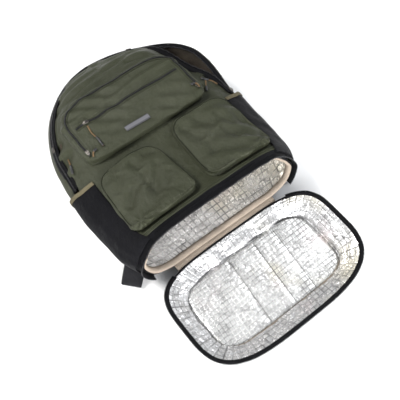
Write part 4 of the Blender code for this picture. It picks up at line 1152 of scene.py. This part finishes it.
panel_stations = stations_from(PANEL_FOOT, 30, 90)
panel_grid = []
for inset, rise in BACK_ROWS:
    z = PANEL_LEVEL + PANEL_THICKNESS * rise
    panel_grid.append([Vector((s.edge_x * (1 - inset), mix(s.edge_y, s.spine_y, inset), z))
                       for s in panel_stations])
panel = shown("back_panel", sheet_of(panel_grid, (0, 0.2, PANEL_LEVEL + 0.005)), mesh_cloth)
fit(panel, "black_cloth", "back_panel")

buckle_at = CORNER - CORNER_DIRECTION * LOOP_LENGTH
strap_end = buckle_at - CORNER_DIRECTION * BUCKLE_LENGTH
turned = strap_end - CORNER_DIRECTION * STRAP_TURN
strap_middle = STRAP_THICKNESS / 2
strap_path = smooth_path([(x, y, strap_middle) for x, y in STRAP_PLAN]
                         + [(*turned.xy, strap_middle), (*strap_end.xy, strap_middle)], 70)
low = WEBBING / 2
corner = CORNER - CORNER_DIRECTION * LOOP_HIDDEN
under = [body_tree.ray_cast(Vector((x, corner.y, 0)), Vector(UP))[0].z
         for x in (corner.x, -corner.x)]
top = min(under) - WEBBING / 2 - 4 * SEAT
fold = [CORNER + CORNER_DIRECTION * (BEND * (math.cos(a) - 1))
        + Vector((0, 0, low + BEND + BEND * math.sin(a)))
        for a in np.radians(np.linspace(-90, 90, 11))]
run_start = buckle_at + CORNER_DIRECTION * (BUCKLE_LENGTH * 0.35)
run = [run_start.lerp(CORNER - CORNER_DIRECTION * BEND, k / 12) + Vector((0, 0, low))
       for k in range(12)]
rise = [corner.lerp(CORNER, 0.55) + Vector((0, 0, mix(fold[-1].z, top, 0.45))),
        corner + Vector((0, 0, top))]
webbing_path = run + fold + rise
webbing_profile = [(-0.5, 0.1), (-0.47, 0.5), (-0.40, 0.38), (0.40, 0.38), (0.47, 0.5),
                   (0.5, 0.1), (0.5, -0.3), (0.46, -0.5), (-0.46, -0.5), (-0.5, -0.3)]
strap_profile = [(math.copysign(abs(math.cos(a)) ** 0.28, math.cos(a)),
                  math.copysign(abs(math.sin(a)) ** 0.55, math.sin(a)))
                 for a in np.radians(np.arange(0, 360, 15))]
BUCKLE_CORNERS = [(-1, -1), (-1, 0.6), (-0.9, 1), (0.9, 1), (1, 0.6), (1, -1)]
BUCKLE_HEIGHTS = [(0.02, 0.5), (0.10, 0.95), (0.22, 1.0), (0.28, 0.62), (0.36, 0.62),
                  (0.42, 1.0), (0.75, 1.0), (0.98, 0.45)]
bar_low = low + WEBBING / 2 + GAP
plastic = Finish("buckle plastic", Base_Color=(0.012, 0.012, 0.013, 1), Roughness=0.42).material


def skinned(name, *skins):
    """A mesh of closed skins, each over rings of points of the same count."""
    bm = bmesh.new()
    for skin in skins:
        rings = [[bm.verts.new(p) for p in ring] for ring in skin]
        for lower, upper in zip(rings, rings[1:]):
            for k in range(len(lower)):
                n = (k + 1) % len(lower)
                bm.faces.new((lower[k], lower[n], upper[n], upper[k]))
        bm.faces.new(rings[0])
        bm.faces.new(rings[-1])
    bmesh.ops.recalc_face_normals(bm, faces=bm.faces)
    mesh = bpy.data.meshes.new(name)
    bm.to_mesh(mesh)
    bm.free()
    return mesh


for side, word in ((1, "left"), (-1, "right")):
    path = [Vector((p.x * side, p.y, p.z)) for p in strap_path]
    strap = swept(f"shoulder_strap_{word}", path,
                  [(u * STRAP_WIDTH / 2, v * STRAP_THICKNESS / 2) for u, v in strap_profile],
                  [UP] * len(path), mesh_cloth)
    for v in strap.data.vertices:
        near = min(range(len(path)), key=lambda k: (path[k].xy - v.co.xy).length)
        share = 1 - 0.40 * ease((near / (len(path) - 1) * 14 - 9) / 5)
        v.co.xy = path[near].xy + (v.co.xy - path[near].xy) * share
    fit(strap, "black_cloth", f"shoulder_strap_{word}")

    path = [Vector((p.x * side, p.y, p.z)) for p in webbing_path]
    across = Vector((CORNER_DIRECTION.y, -CORNER_DIRECTION.x * side, 0)) * side
    ups = []
    for k, place in enumerate(path):
        ahead = (path[min(k + 1, len(path) - 1)] - path[max(k - 1, 0)]).normalized()
        ups.append(across.cross(ahead).normalized())
    web = swept(f"strap_webbing_{word}", path,
                [(u * WEBBING_WIDTH, v * WEBBING) for u, v in webbing_profile], ups,
                webbing_cloth)
    fit(web, "black_cloth", f"strap_webbing_{word}")

    half = WEBBING_WIDTH / 2 + 0.003
    side_way = Vector((CORNER_DIRECTION.y * side, -CORNER_DIRECTION.x, 0)).normalized()
    rings = []
    for reach, share in BUCKLE_HEIGHTS:
        place = strap_end + CORNER_DIRECTION * (BUCKLE_LENGTH * reach + BUCKLE_CLEAR)
        high = mix(bar_low, STRAP_THICKNESS - GAP, share)
        spot = Vector((place.x * side, place.y, (high + bar_low) / 2))
        rings.append([spot + side_way * half * u + Vector((0, 0, (high - bar_low) / 2 * v))
                      for u, v in BUCKLE_CORNERS])
    fit(shown(f"strap_buckle_{word}", skinned("buckle", rings), plastic, 30),
        "buckle_plastic", f"strap_buckle_{word}")

# Haul handle: a loop of webbing sewn into the seam behind the top of the arch.

HANDLE_X = 0.040
HANDLE_SPAN = 0.064
HANDLE_REACH = 0.027
HANDLE_WIDTH = 0.019
HANDLE_STEPS = 48
handle_path, handle_ups = [], []
handle_z = PANEL_LEVEL + HANDLE_WIDTH / 2
for k in range(HANDLE_STEPS + 1):
    angle = math.pi * k / HANDLE_STEPS
    x = HANDLE_X - HANDLE_SPAN / 2 * power(math.cos(angle), 0.75)
    seam, _, _, _ = body_tree.ray_cast(Vector((x, 1.0, handle_z + HANDLE_WIDTH / 2)),
                                       Vector((0, -1, 0)))
    y = seam.y + SEAT + WEBBING / 2 + HANDLE_REACH * math.sin(angle) ** 0.8
    handle_path.append(Vector((x, y, handle_z)))
for k in range(HANDLE_STEPS + 1):
    ahead = handle_path[min(k + 1, HANDLE_STEPS)] - handle_path[max(k - 1, 0)]
    ahead = ahead.normalized()
    handle_ups.append(Vector((ahead.y, -ahead.x, 0)))
handle = swept("haul_handle", handle_path,
               [(u * HANDLE_WIDTH, v * WEBBING) for u, v in webbing_profile], handle_ups,
               webbing_cloth)
fit(handle, "black_cloth", "haul_handle")

# Side pockets: black cloth stretched over each side, open at the head, with an olive
# tape bound over the edge.

SIDE_POCKET_FOOT = 0.006
SIDE_POCKET_SLACK = 0.0035
SIDE_POCKET_EDGE = 0.45
POCKET_WALL = 0.0020
BINDING_WIDTH = 0.0075
side_cloth = woven("side pocket cloth", BLACK_DEEP, BLACK, BLACK_WORN, pitch=0.0009,
                   slant=0.0, rough=0.70, sheen=0.03)
khaki_tape = woven("khaki binding", (0.060, 0.052, 0.030), (0.110, 0.094, 0.056),
                   (0.190, 0.165, 0.110), pitch=0.0014, slant=0.0, rough=0.66,
                   relief=0.0002)
SIDE_COLUMNS = np.linspace(BACK_ROUND, SHOULDER + SIDE_POCKET_EDGE * 0.4, 52)


def side_pocket_row(y_share, side, lift):
    row = []
    for k, level in enumerate(SIDE_COLUMNS):
        share = k / (len(SIDE_COLUMNS) - 1)
        y = mix(SIDE_POCKET_FOOT, SIDE_POCKET_HEAD + 0.016 * (0.5 - share), y_share)
        slack = SIDE_POCKET_SLACK * math.sin(math.pi * share) * ease(y_share)
        pair = [body_place(side_station(y, side), level + step) for step in (-0.05, 0, 0.05)]
        ahead = (pair[2] - pair[0]).normalized()
        out = Vector((ahead.z, 0, -ahead.x)) * side
        row.append(pair[1] + out * (SEAT + slack + lift))
    return row


def side_folds(p):
    slack = ease((p.y - 0.02) / 0.05)
    return (ripple(p.x, p.y, p.z, 18, 51.0) * 0.0016
            + soft_ridges(p.z * 2, p.y, math.radians(30), 0.030, 52.0) * 0.0007) * slack


for side, word in ((-1, "left"), (1, "right")):
    grid = [side_pocket_row(s, side, POCKET_WALL) for s in np.linspace(0, 1, 64)]
    pocket = cloth(f"side_pocket_{word}", grid, POCKET_WALL * 0.9, side_cloth,
                   (0.0, 0.1, 0.06), folds=side_folds)
    fit(pocket, "black_cloth", f"side_pocket_{word}")
    edge = [1 - BINDING_WIDTH / SIDE_POCKET_HEAD, 1 - 0.004, 1.002, 1.006, 1.004, 0.985]
    rise = [POCKET_WALL + GAP + TAPE, POCKET_WALL + GAP + TAPE * 1.1,
            POCKET_WALL + GAP + TAPE * 0.9, POCKET_WALL * 0.5, -GAP, -GAP * 0.5]
    grid = [side_pocket_row(s, side, lift) for s, lift in zip(edge, rise)]
    bound = cloth(f"side_binding_{word}", grid, 0.0007, khaki_tape, (0.0, 0.1, 0.06),
                  folds=side_folds)
    fit(bound, "binding_tape", f"side_binding_{word}")

# Front pockets: a flat box pocket closed by a zip round three sides, and under it two
# bellows pockets gathered into elastic at the bottom.

COMPARTMENT_HALF = 0.119
COMPARTMENT_X = -0.004
COMPARTMENT_FOOT = 0.187
COMPARTMENT_HEAD = 0.308
COMPARTMENT_RAISE = 0.008
COMPARTMENT_POWERS = (9.0, 4.2)
BELLOWS_FOOT = 0.043
BELLOWS_RAISE = 0.016
HEM_Y = 0.049
TUCK_Y = 0.2735
PocketRow = namedtuple("PocketRow", "size raise_")
COMPARTMENT_ROWS = [
    PocketRow(0.02, 1.00), PocketRow(0.30, 1.00), PocketRow(0.66, 1.00),
    PocketRow(0.90, 0.97), PocketRow(0.985, 0.86), PocketRow(1.00, 0.45),
    PocketRow(0.995, 0.00),
]
BELLOWS_ROWS = [
    PocketRow(0.02, 1.00), PocketRow(0.35, 1.00), PocketRow(0.72, 1.00),
    PocketRow(0.92, 0.95), PocketRow(1.00, 0.80), PocketRow(0.97, 0.42),
    PocketRow(0.99, 0.00),
]


def pocket_plan(angle, left, right, foot, head, power_foot, power_head):
    c, s = math.cos(angle), math.sin(angle)
    exponent = 2 / (power_head if s >= 0 else power_foot)
    return Vector(((left + right) / 2 + (right - left) / 2 * power(c, exponent),
                   (foot + head) / 2 + (head - foot) / 2 * power(s, exponent), 0))


def even_outline(plan, count):
    fine = [plan(2 * math.pi * k / 720) for k in range(721)]
    run = np.concatenate([[0], np.cumsum([(q - p).length for p, q in zip(fine, fine[1:])])])
    steps = [run[-1] * (k + 0.5) / count for k in range(count)]
    return [Vector((float(np.interp(w, run, [p.x for p in fine])),
                    float(np.interp(w, run, [p.y for p in fine])), 0)) for w in steps]


def pocket(name, plan, rows, height, folds, count=300, per_row=12):
    """A cloth pocket on the body: its wall and its face, with folds over the face."""
    outline = even_outline(plan, count)
    centre = sum(outline, Vector()) / count
    curve = curve_through(range(len(rows)), rows)
    grid = []
    for k in range((len(rows) - 1) * per_row + 1):
        row = PocketRow(*curve(k / per_row))
        line = []
        for edge in outline:
            place = centre.lerp(edge, row.size)
            ground = lying_on(body_tree, place.x, place.y)[0].z + SEAT
            lift = max(row.raise_, 0.0) * height(place.x, place.y)
            line.append(Vector((place.x, place.y, ground + lift)))
        grid.append(line)
    mesh = sheet_of(grid, (*centre.xy, 0.05), closed=True, cap=True)
    bm = bmesh.new()
    bm.from_mesh(mesh)
    for v in bm.verts:
        stand = ease((v.co.z - lying_on(body_tree, v.co.x, v.co.y)[0].z - SEAT) / 0.004)
        v.co += v.normal * folds(v.co) * stand
    bm.to_mesh(mesh)
    bm.free()
    mesh.name = name
    return mesh


def compartment_height(x, y):
    out = abs(x) / COMPARTMENT_HALF
    low = ease((COMPARTMENT_FOOT + 0.05 - y) / 0.05)
    return COMPARTMENT_RAISE * (1 + 0.35 * out * out + 0.55 * low)


def bellows_height(x, y):
    out = ease((abs(x) - 0.095) / 0.045)
    head = ease((y - 0.115) / 0.055)
    return BELLOWS_RAISE * (1 - 0.30 * out) * (1 - 0.22 * head)


def compartment_plan(angle):
    return pocket_plan(angle, COMPARTMENT_X - COMPARTMENT_HALF, COMPARTMENT_X + COMPARTMENT_HALF,
                       COMPARTMENT_FOOT, COMPARTMENT_HEAD, *COMPARTMENT_POWERS)


def compartment_folds(p):
    broad = ripple(p.x, p.y, 0, 15, 61.0) * 0.0036
    tuck_y = TUCK_Y + 0.004 * math.sin(p.x * 24)
    tuck = math.exp(-((p.y - tuck_y) / 0.0034) ** 2) * 0.0020
    pull = soft_ridges(p.x, p.y, math.radians(-32), 0.026, 62.0) * 0.0026
    sag = soft_ridges(p.x, p.y, math.radians(5), 0.019, 63.0) * 0.0010
    return broad + tuck + pull + sag


front_mesh = pocket("front_compartment", compartment_plan, COMPARTMENT_ROWS,
                    compartment_height, compartment_folds)
front_tree = tree_of_mesh(front_mesh)
POCKET_CLOTH = 0.0016
fit(walled(shown("front_compartment", front_mesh, olive_cloth), POCKET_CLOTH), "olive_cloth",
    "front_compartment")

Bellows = namedtuple("Bellows", "left right head swell lean creases gather hem seed")
BELLOWS = {
    "left": Bellows(
        -0.137, -0.013, 0.166, (20, 0.0056), (38, 0.040, 0.0028),
        [((-0.072, 0.156), (-0.066, 0.128), 0.0045, 0.0032),
         ((-0.066, 0.128), (-0.074, 0.100), 0.0045, 0.0036),
         ((-0.074, 0.100), (-0.066, 0.074), 0.0050, 0.0030),
         ((-0.034, 0.128), (-0.072, 0.086), 0.0042, 0.0026),
         ((-0.028, 0.108), (-0.062, 0.068), 0.0042, 0.0026),
         ((-0.094, 0.146), (-0.118, 0.112), 0.0045, 0.0024),
         ((-0.090, 0.112), (-0.122, 0.082), 0.0040, 0.0026),
         ((-0.050, 0.152), (-0.026, 0.146), 0.0032, 0.0018)],
        ((-0.118, 0.052), 0.030, 7, 0.0013), (620, 0), 71.0),
    "right": Bellows(
        0.009, 0.140, 0.174, (17, 0.0060), (-30, 0.032, 0.0032),
        [((0.030, 0.160), (0.050, 0.112), 0.0060, 0.0036),
         ((0.060, 0.164), (0.082, 0.120), 0.0060, 0.0030),
         ((0.050, 0.112), (0.044, 0.076), 0.0055, 0.0030),
         ((0.092, 0.152), (0.108, 0.104), 0.0055, 0.0030),
         ((0.082, 0.120), (0.098, 0.078), 0.0050, 0.0032),
         ((0.122, 0.140), (0.124, 0.100), 0.0050, 0.0022)],
        ((0.116, 0.054), 0.030, 6, 0.0014), (560, 1), 81.0),
}


def crease(p, start, end, width, depth):
    """A valley between two points of the plan, sharpest along its middle."""
    a, b = Vector(start), Vector(end)
    along = (b - a)
    share = min(max((p.xy - a).dot(along) / along.length_squared, 0), 1)
    off = (p.xy - a - along * share).length
    ends = ease(min(share, 1 - share) * 5 + 0.15)
    return -depth * math.exp(-abs(off / (width * 1.7)) ** 1.6) * ends


def puckers(p, place, reach, count, depth, seed):
    """Folds that run out from a gathered corner."""
    off = p.xy - Vector(place)
    turn = math.atan2(off.y, off.x)
    near = math.exp(-(off.length / reach) ** 2) * ease(off.length / 0.006)
    wander = 1.3 * noise.noise(Vector((off.x * 60, off.y * 60, seed)))
    return depth * math.sin(turn * count + wander + 30 * off.length) * near


def bellows_folds(p, cut):
    """Broad swells, slanting folds, named creases, gathers at a corner and the hem."""
    scale, swell = cut.swell
    turn, pitch, lean = cut.lean
    waves, start = cut.hem
    hem = math.sin(p.x * waves + start) * 0.0003
    return (ripple(p.x, p.y, 0, scale, cut.seed) * swell
            + soft_ridges(p.x, p.y, math.radians(turn), pitch, cut.seed + 1) * lean
            + sum(crease(p, *line) for line in cut.creases) * 1.5
            + puckers(p, *cut.gather, cut.seed + 2)
            + hem * math.exp(-((p.y - HEM_Y) / 0.006) ** 2))


pocket_trees = [body_tree, front_tree]
# A darker copy of the olive cloth for the bellows pockets' edge piping: painted shade along their
# seams.
olive_seam_shade = woven("olive seam", (0.0100, 0.0115, 0.0065), (0.0170, 0.0190, 0.0110),
                   (0.0300, 0.0330, 0.0200), rough=0.6)
for word, cut in BELLOWS.items():
    middle = Vector(((cut.left + cut.right) / 2, (BELLOWS_FOOT + cut.head) / 2, 0))

    def bellows_plan(angle, cut=cut, middle=middle):
        place = pocket_plan(angle, cut.left, cut.right, BELLOWS_FOOT, cut.head, 7.0, 5.0)
        spread = (cut.head - place.y) / (cut.head - BELLOWS_FOOT)
        place.x = middle.x + (place.x - middle.x) * mix(0.90, 1.0, spread)
        return place

    def laid_along(start, end, count, share, lift, plan=bellows_plan, middle=middle):
        """Places on the pocket along part of its outline, a share of the way out."""
        spots = [middle.lerp(plan(math.pi * a), share) for a in np.linspace(start, end, count)]
        return [lying_on(pocket_trees[-1], p.x, p.y, lift) for p in spots]

    mesh = pocket(f"bellows_pocket_{word}", bellows_plan, BELLOWS_ROWS, bellows_height,
                  lambda p, cut=cut: bellows_folds(p, cut))
    pocket_trees.append(tree_of_mesh(mesh))
    fit(walled(shown(f"bellows_pocket_{word}", mesh, olive_cloth), POCKET_CLOTH),
        "olive_cloth", f"bellows_pocket_{word}")
    fit(laid_bar(f"bellows_edge_{word}", laid_along(-0.12, 1.12, 130, 0.972, 0.0003),
                 round_bar(0.0010), olive_seam_shade), "olive_cloth")
    stitched(f"bellows_stitches_{word}", laid_along(1.10, 1.90, 80, 0.90, 0.0002))
    stitched(f"bellows_top_stitches_{word}", laid_along(0.04, 0.96, 100, 0.955, 0.0002))

# Fine zips of the box pocket: olive tape with a black nylon coil, sewn in round three
# sides and straight across. The small woven label under them is bare grey cloth.

POCKET_ZIP_Y = 0.255
FINE_ZIP_WIDTH = 0.0070
ZIP_INSET = 0.0085
CHAIN_SIZE = (0.0032, 0.0007)
FINE_PITCH = 0.0013
FINE_TOOTH = (0.0009, 0.0024, 0.0012)
LABEL_AT = (-0.018, 0.206)
LABEL_SIZE = (0.046, 0.010)
grey_label = Finish("label cloth", Sheen_Weight=0.1)
fleck = grey_label.patches(420.0, 3.0)
stripe = ((grey_label.across - 0.005).size() * 1000.0).step(3.0, 3.4)
grey_label.show(Base_Color=grey_label.colours(stripe * 0.8 + fleck * 0.2,
                                              (0.095, 0.095, 0.105),
                                              (0.030, 0.030, 0.034)),
                Roughness=fleck * 0.1 + 0.6)


def closed_zip(name, plan, node):
    """Two tapes and a coil lying on the box pocket, along points of the plan."""
    path = smooth_path([(x, y, 0) for x, y in plan], max(40, len(plan) * 4))
    laid = [lying_on(front_tree, p.x, p.y, SEAT) for p in path]
    fit(laid_bar(name, laid, tape_bar(FINE_ZIP_WIDTH, TAPE * 0.7), olive_cloth), "zip", node)
    chain = [(p + n * TAPE * 0.75, n) for p, n in laid]
    fit(laid_bar(f"{name}_chain", chain, tape_bar(*CHAIN_SIZE), tape_cloth), "zip")
    coil_row(f"{name}_coil", [p + n * 0.0008 for p, n in chain], [n for p, n in chain],
             FINE_PITCH, FINE_TOOTH)


reach = COMPARTMENT_HALF - ZIP_INSET
legs = [pocket_plan(math.radians(a), COMPARTMENT_X - reach, COMPARTMENT_X + reach,
                    COMPARTMENT_FOOT, COMPARTMENT_HEAD - ZIP_INSET, *COMPARTMENT_POWERS)
        for a in range(-40, 221, 2)]
legs = [p for p in smooth_path(legs, 160) if p.y > COMPARTMENT_FOOT + 0.012]
closed_zip("front_zip_tape", [p.xy for p in legs], "front_zip")
for word, shrink in (("outer", -0.0055), ("inner", 0.0062)):
    row = [p + (Vector((0, 0.24, 0)) - p).normalized() * shrink for p in legs]
    laid = [lying_on(front_tree, p.x, p.y, 0.0002) for p in row]
    stitched(f"front_zip_stitches_{word}", laid)
zip_reach = COMPARTMENT_HALF - 0.018
closed_zip("pocket_zip_tape", [(COMPARTMENT_X + x, POCKET_ZIP_Y)
                               for x in np.linspace(-zip_reach, zip_reach, 17)], "pocket_zip")
for k, y in enumerate((POCKET_ZIP_Y - 0.0058, POCKET_ZIP_Y + 0.0058)):
    laid = [lying_on(front_tree, x, y, 0.0002) for x in np.linspace(-0.104, 0.096, 120)]
    stitched(f"pocket_zip_stitches_{k + 1}", laid)

label_path = [lying_on(front_tree, LABEL_AT[0] + LABEL_SIZE[0] * s, LABEL_AT[1], SEAT)
              for s in np.linspace(-0.5, 0.5, 30)]
label = laid_bar("label", label_path, tape_bar(LABEL_SIZE[1], TAPE * 0.8),
                 grey_label.material)
fit(label, "label_cloth", "label")

# Sliders: die-cast zinc bodies plated dark, with a raised bridge that takes the cord. They
# ride on the coils of the main, front and pocket zips.

SLIDER_LENGTH = 0.0110
SLIDER_WIDTH = 0.0070
SLIDER_HEIGHT = 0.0032
POCKET_SLIDER_X = -0.086
metal = Finish("slider metal", Metallic=1.0, Base_Color=(0.13, 0.12, 0.11, 1))
metal.show(Roughness=metal.patches(300.0, 3.0) * 0.20 + 0.34)


def slider(name, place, along, normal, node):
    along = along.normalized()
    across = along.cross(normal).normalized()
    up = across.cross(along).normalized()
    if up.dot(normal) < 0:
        up = -up
    body = []
    for size, rise in ((0.86, 0.0), (0.96, 0.12), (0.96, 0.34), (0.86, 0.44)):
        ring = []
        for a in np.linspace(0, 2 * math.pi, 28, endpoint=False):
            u = power(math.cos(a), 0.62) * 0.5 * size
            v = power(math.sin(a), 0.62) * 0.5 * size * (1 - 0.30 * ease(0.5 - u))
            ring.append(place + along * SLIDER_LENGTH * u + across * SLIDER_WIDTH * v
                        + up * SLIDER_HEIGHT * rise)
        body.append(ring)
    bridge = []
    for a in np.linspace(0, math.pi, 13):
        spot = (place + along * SLIDER_LENGTH * 0.36 * math.cos(a)
                + up * SLIDER_HEIGHT * (0.36 + 0.56 * math.sin(a)))
        bridge.append([spot + across * SLIDER_WIDTH * w + up * SLIDER_HEIGHT * h
                       for w, h in ((-0.16, 0), (-0.16, 0.10), (0.16, 0.10), (0.16, 0))])
    mesh = skinned(name, body, bridge)
    fit(shown(name, mesh, metal.material, 35), "slider_metal", node)
    return tree_of_mesh(mesh, ORIGIN_Y)


slider_trees = []
on_tape = 2 * SEAT + TAPE
place, normal = lying_on(front_tree, POCKET_SLIDER_X, POCKET_ZIP_Y)
slider_trees.append(slider("pocket_slider", place + normal * on_tape, Vector((1, 0, 0)),
                           normal, "pocket_slider"))
for word, end in (("right", legs[0]), ("left", legs[-1])):
    place, normal = lying_on(front_tree, end.x, end.y + SLIDER_LENGTH / 2)
    slider_trees.append(slider(f"front_slider_{word}", place + normal * on_tape,
                               Vector((0, 1, 0)), normal, f"front_slider_{word}"))
for word in ("right", "top", "left"):
    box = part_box(f"main_slider_{word}")
    middle = (box[0] + box[1]) / 2 + Vector((0, ORIGIN_Y, 0))
    k = min(range(len(zip_stations)), key=lambda i: (
        (zip_edges["back"][i] + zip_edges["front"][i]) / 2 - middle).length)
    after, before = min(k + 1, len(zip_stations) - 1), max(k - 1, 0)
    along = (zip_edges["front"][after] - zip_edges["front"][before]).normalized()
    across = (zip_edges["front"][k] - zip_edges["back"][k]).normalized()
    normal = along.cross(across).normalized()
    if normal.dot(middle - ZIP_CENTRE) < 0:
        normal = -normal
    place = middle - normal * SLIDER_HEIGHT * 0.5
    slider_trees.append(slider(f"main_slider_{word}", place, along, normal,
                               f"main_slider_{word}"))

# Pulls: one waxed khaki cord on each slider, tied at the slider's bridge, with a black
# rubber sleeve moulded over its end. They lie loose on the cloth.

PULL_ROUTES = {
    "pocket_pull": [(-0.0865, 0.2485), (-0.0880, 0.2350), (-0.0868, 0.2180), (-0.0870, 0.2020)],
    "front_pull_right": [(0.1055, 0.1995), (0.1035, 0.2090), (0.0975, 0.2140)],
    "front_pull_left": [(-0.1105, 0.1960), (-0.1060, 0.2020), (-0.0990, 0.2040)],
    "main_pull_right": [(0.1520, 0.2090), (0.1440, 0.2190), (0.1300, 0.2280)],
    "main_pull_hanging": [(0.1330, 0.2180), (0.1260, 0.2080), (0.1190, 0.1975)],
    "main_pull_left": [(-0.1395, 0.2330), (-0.1430, 0.2200), (-0.1480, 0.2060)],
}
CORD_RADIUS = 0.0013
SLEEVE_RADIUS = 0.0021
SLEEVE_SHARE = 0.56
SLEEVE_PLACES = (0.0, 0.06, 0.5, 0.94, 1.0)
SLEEVE_WIDTHS = (0.82, 0.98, 1.0, 0.98, 0.74)
CORD_LEAST = 0.030
PULL_STEPS = 60
SLEEVE_STEPS = 26
khaki_cord = woven("khaki cord", (0.060, 0.036, 0.018), (0.115, 0.072, 0.036),
                   (0.240, 0.165, 0.095), pitch=0.0014, slant=0.9, rough=0.50,
                   relief=0.0002)
rubber = Finish("sleeve rubber", Base_Color=(0.014, 0.014, 0.015, 1), Roughness=0.45).material


def highest(x, y, around):
    found = []
    for across, along in ((0, 0), (-1, 0), (1, 0), (0, -1), (0, 1)):
        start = Vector((x + across * around, y + along * around, 1.0))
        hits = [tree.ray_cast(start, Vector((0, 0, -1)))[0]
                for tree in pocket_trees + slider_trees]
        found += [hit.z for hit in hits if hit is not None]
    return max(found)


for name, plan in PULL_ROUTES.items():
    flat = smooth_path([(x, y, 0) for x, y in plan], PULL_STEPS)
    heights = []
    for k, p in enumerate(flat):
        radius = SLEEVE_RADIUS if k / (PULL_STEPS - 1) >= SLEEVE_SHARE else CORD_RADIUS
        heights.append(highest(p.x, p.y, radius) + radius + 0.0004)
    smooth = []
    for k in range(PULL_STEPS):
        span = heights[max(0, k - 4):k + 5]
        smooth.append(max(sum(span) / len(span), heights[k] - 0.0004))
    path = [Vector((p.x, p.y, z)) for p, z in zip(flat, smooth)]
    sleeve_from = int(PULL_STEPS * SLEEVE_SHARE)
    whole = sum((q - p).length for p, q in zip(path, path[1:]))
    end = PULL_STEPS if whole >= CORD_LEAST else sleeve_from + 3
    cord = swept(name, path[:end], round_bar(CORD_RADIUS, 12), [UP] * end, khaki_cord)
    fit(cord, "cord", name)
    sleeve = swept(f"{name}_sleeve", smooth_path(path[sleeve_from:], SLEEVE_STEPS),
                   round_bar(SLEEVE_RADIUS, 16), [UP] * SLEEVE_STEPS, rubber,
                   taper=lambda share: float(np.interp(share, SLEEVE_PLACES, SLEEVE_WIDTHS)))
    fit(sleeve, "cord")

# Studio: a plain pale floor, a faint cool sky and three soft lights: a key from the upper
# left, a weak one from the right and a low one that shines into the cooler.

floor_paint = Finish("studio floor", Roughness=0.55)
grain = floor_paint.patches(3.0, 2.0)
floor_paint.show(Base_Color=floor_paint.colours(grain, (0.88, 0.88, 0.88),
                                                (0.90, 0.90, 0.90)))
floor_mesh = bpy.data.meshes.new("studio_floor")
FLOOR_HALF = 6.0
floor_mesh.from_pydata([(-FLOOR_HALF, -FLOOR_HALF, 0), (FLOOR_HALF, -FLOOR_HALF, 0),
                        (FLOOR_HALF, FLOOR_HALF, 0), (-FLOOR_HALF, FLOOR_HALF, 0)],
                       [], [(0, 1, 2, 3)])
floor_mesh.materials.append(floor_paint.material)
studio_floor = bpy.data.objects.new("studio_floor", floor_mesh)
bpy.context.scene.collection.objects.link(studio_floor)

bpy.context.scene.view_settings.view_transform = "Standard"
world = bpy.data.worlds.new("studio")
world.use_nodes = True
world.node_tree.nodes["Background"].inputs["Color"].default_value = (0.93, 0.96, 1.0, 1)
world.node_tree.nodes["Background"].inputs["Strength"].default_value = 0.34
bpy.context.scene.world = world

Softbox = namedtuple("Softbox", "place aim size power colour")
SOFTBOXES = [
    Softbox((-1.3, 1.2, 2.2), (0.0, 0.0, 0.0), 0.9, 92, (1.0, 0.99, 0.97)),
    Softbox((1.7, 0.2, 1.8), (0.0, 0.0, 0.0), 1.2, 22, (0.95, 0.97, 1.0)),
    Softbox((-0.25, -1.4, 0.50), (0.0, 0.0, 0.05), 1.3, 60, (1.0, 1.0, 1.0)),
]
for k, box in enumerate(SOFTBOXES):
    lamp = bpy.data.lights.new(f"softbox_{k + 1}", "AREA")
    lamp.size, lamp.energy, lamp.color = box.size, box.power, box.colour
    held = bpy.data.objects.new(f"softbox_{k + 1}", lamp)
    held.location = box.place
    held.rotation_euler = (Vector(box.aim) - Vector(box.place)).to_track_quat("-Z", "Y").to_euler()
    bpy.context.scene.collection.objects.link(held)

# Camera: a slightly long lens above the tray's lower left, looking down over the bag as
# the photographer's did.

AZIMUTH = math.radians(-38)
ELEVATION = math.radians(61)
DISTANCE = 1.117
TARGET = Vector((0.012, 0.079 - ORIGIN_Y, 0))
lens = bpy.data.cameras.new("camera")
lens.lens = 58.5
lens.sensor_width = 36
eye = bpy.data.objects.new("camera", lens)
way = Vector((math.sin(AZIMUTH) * math.cos(ELEVATION),
              -math.cos(AZIMUTH) * math.cos(ELEVATION), math.sin(ELEVATION)))
eye.location = TARGET + way * DISTANCE
eye.rotation_euler = (-way).to_track_quat("-Z", "Y").to_euler()
bpy.context.scene.collection.objects.link(eye)
bpy.context.scene.camera = eye
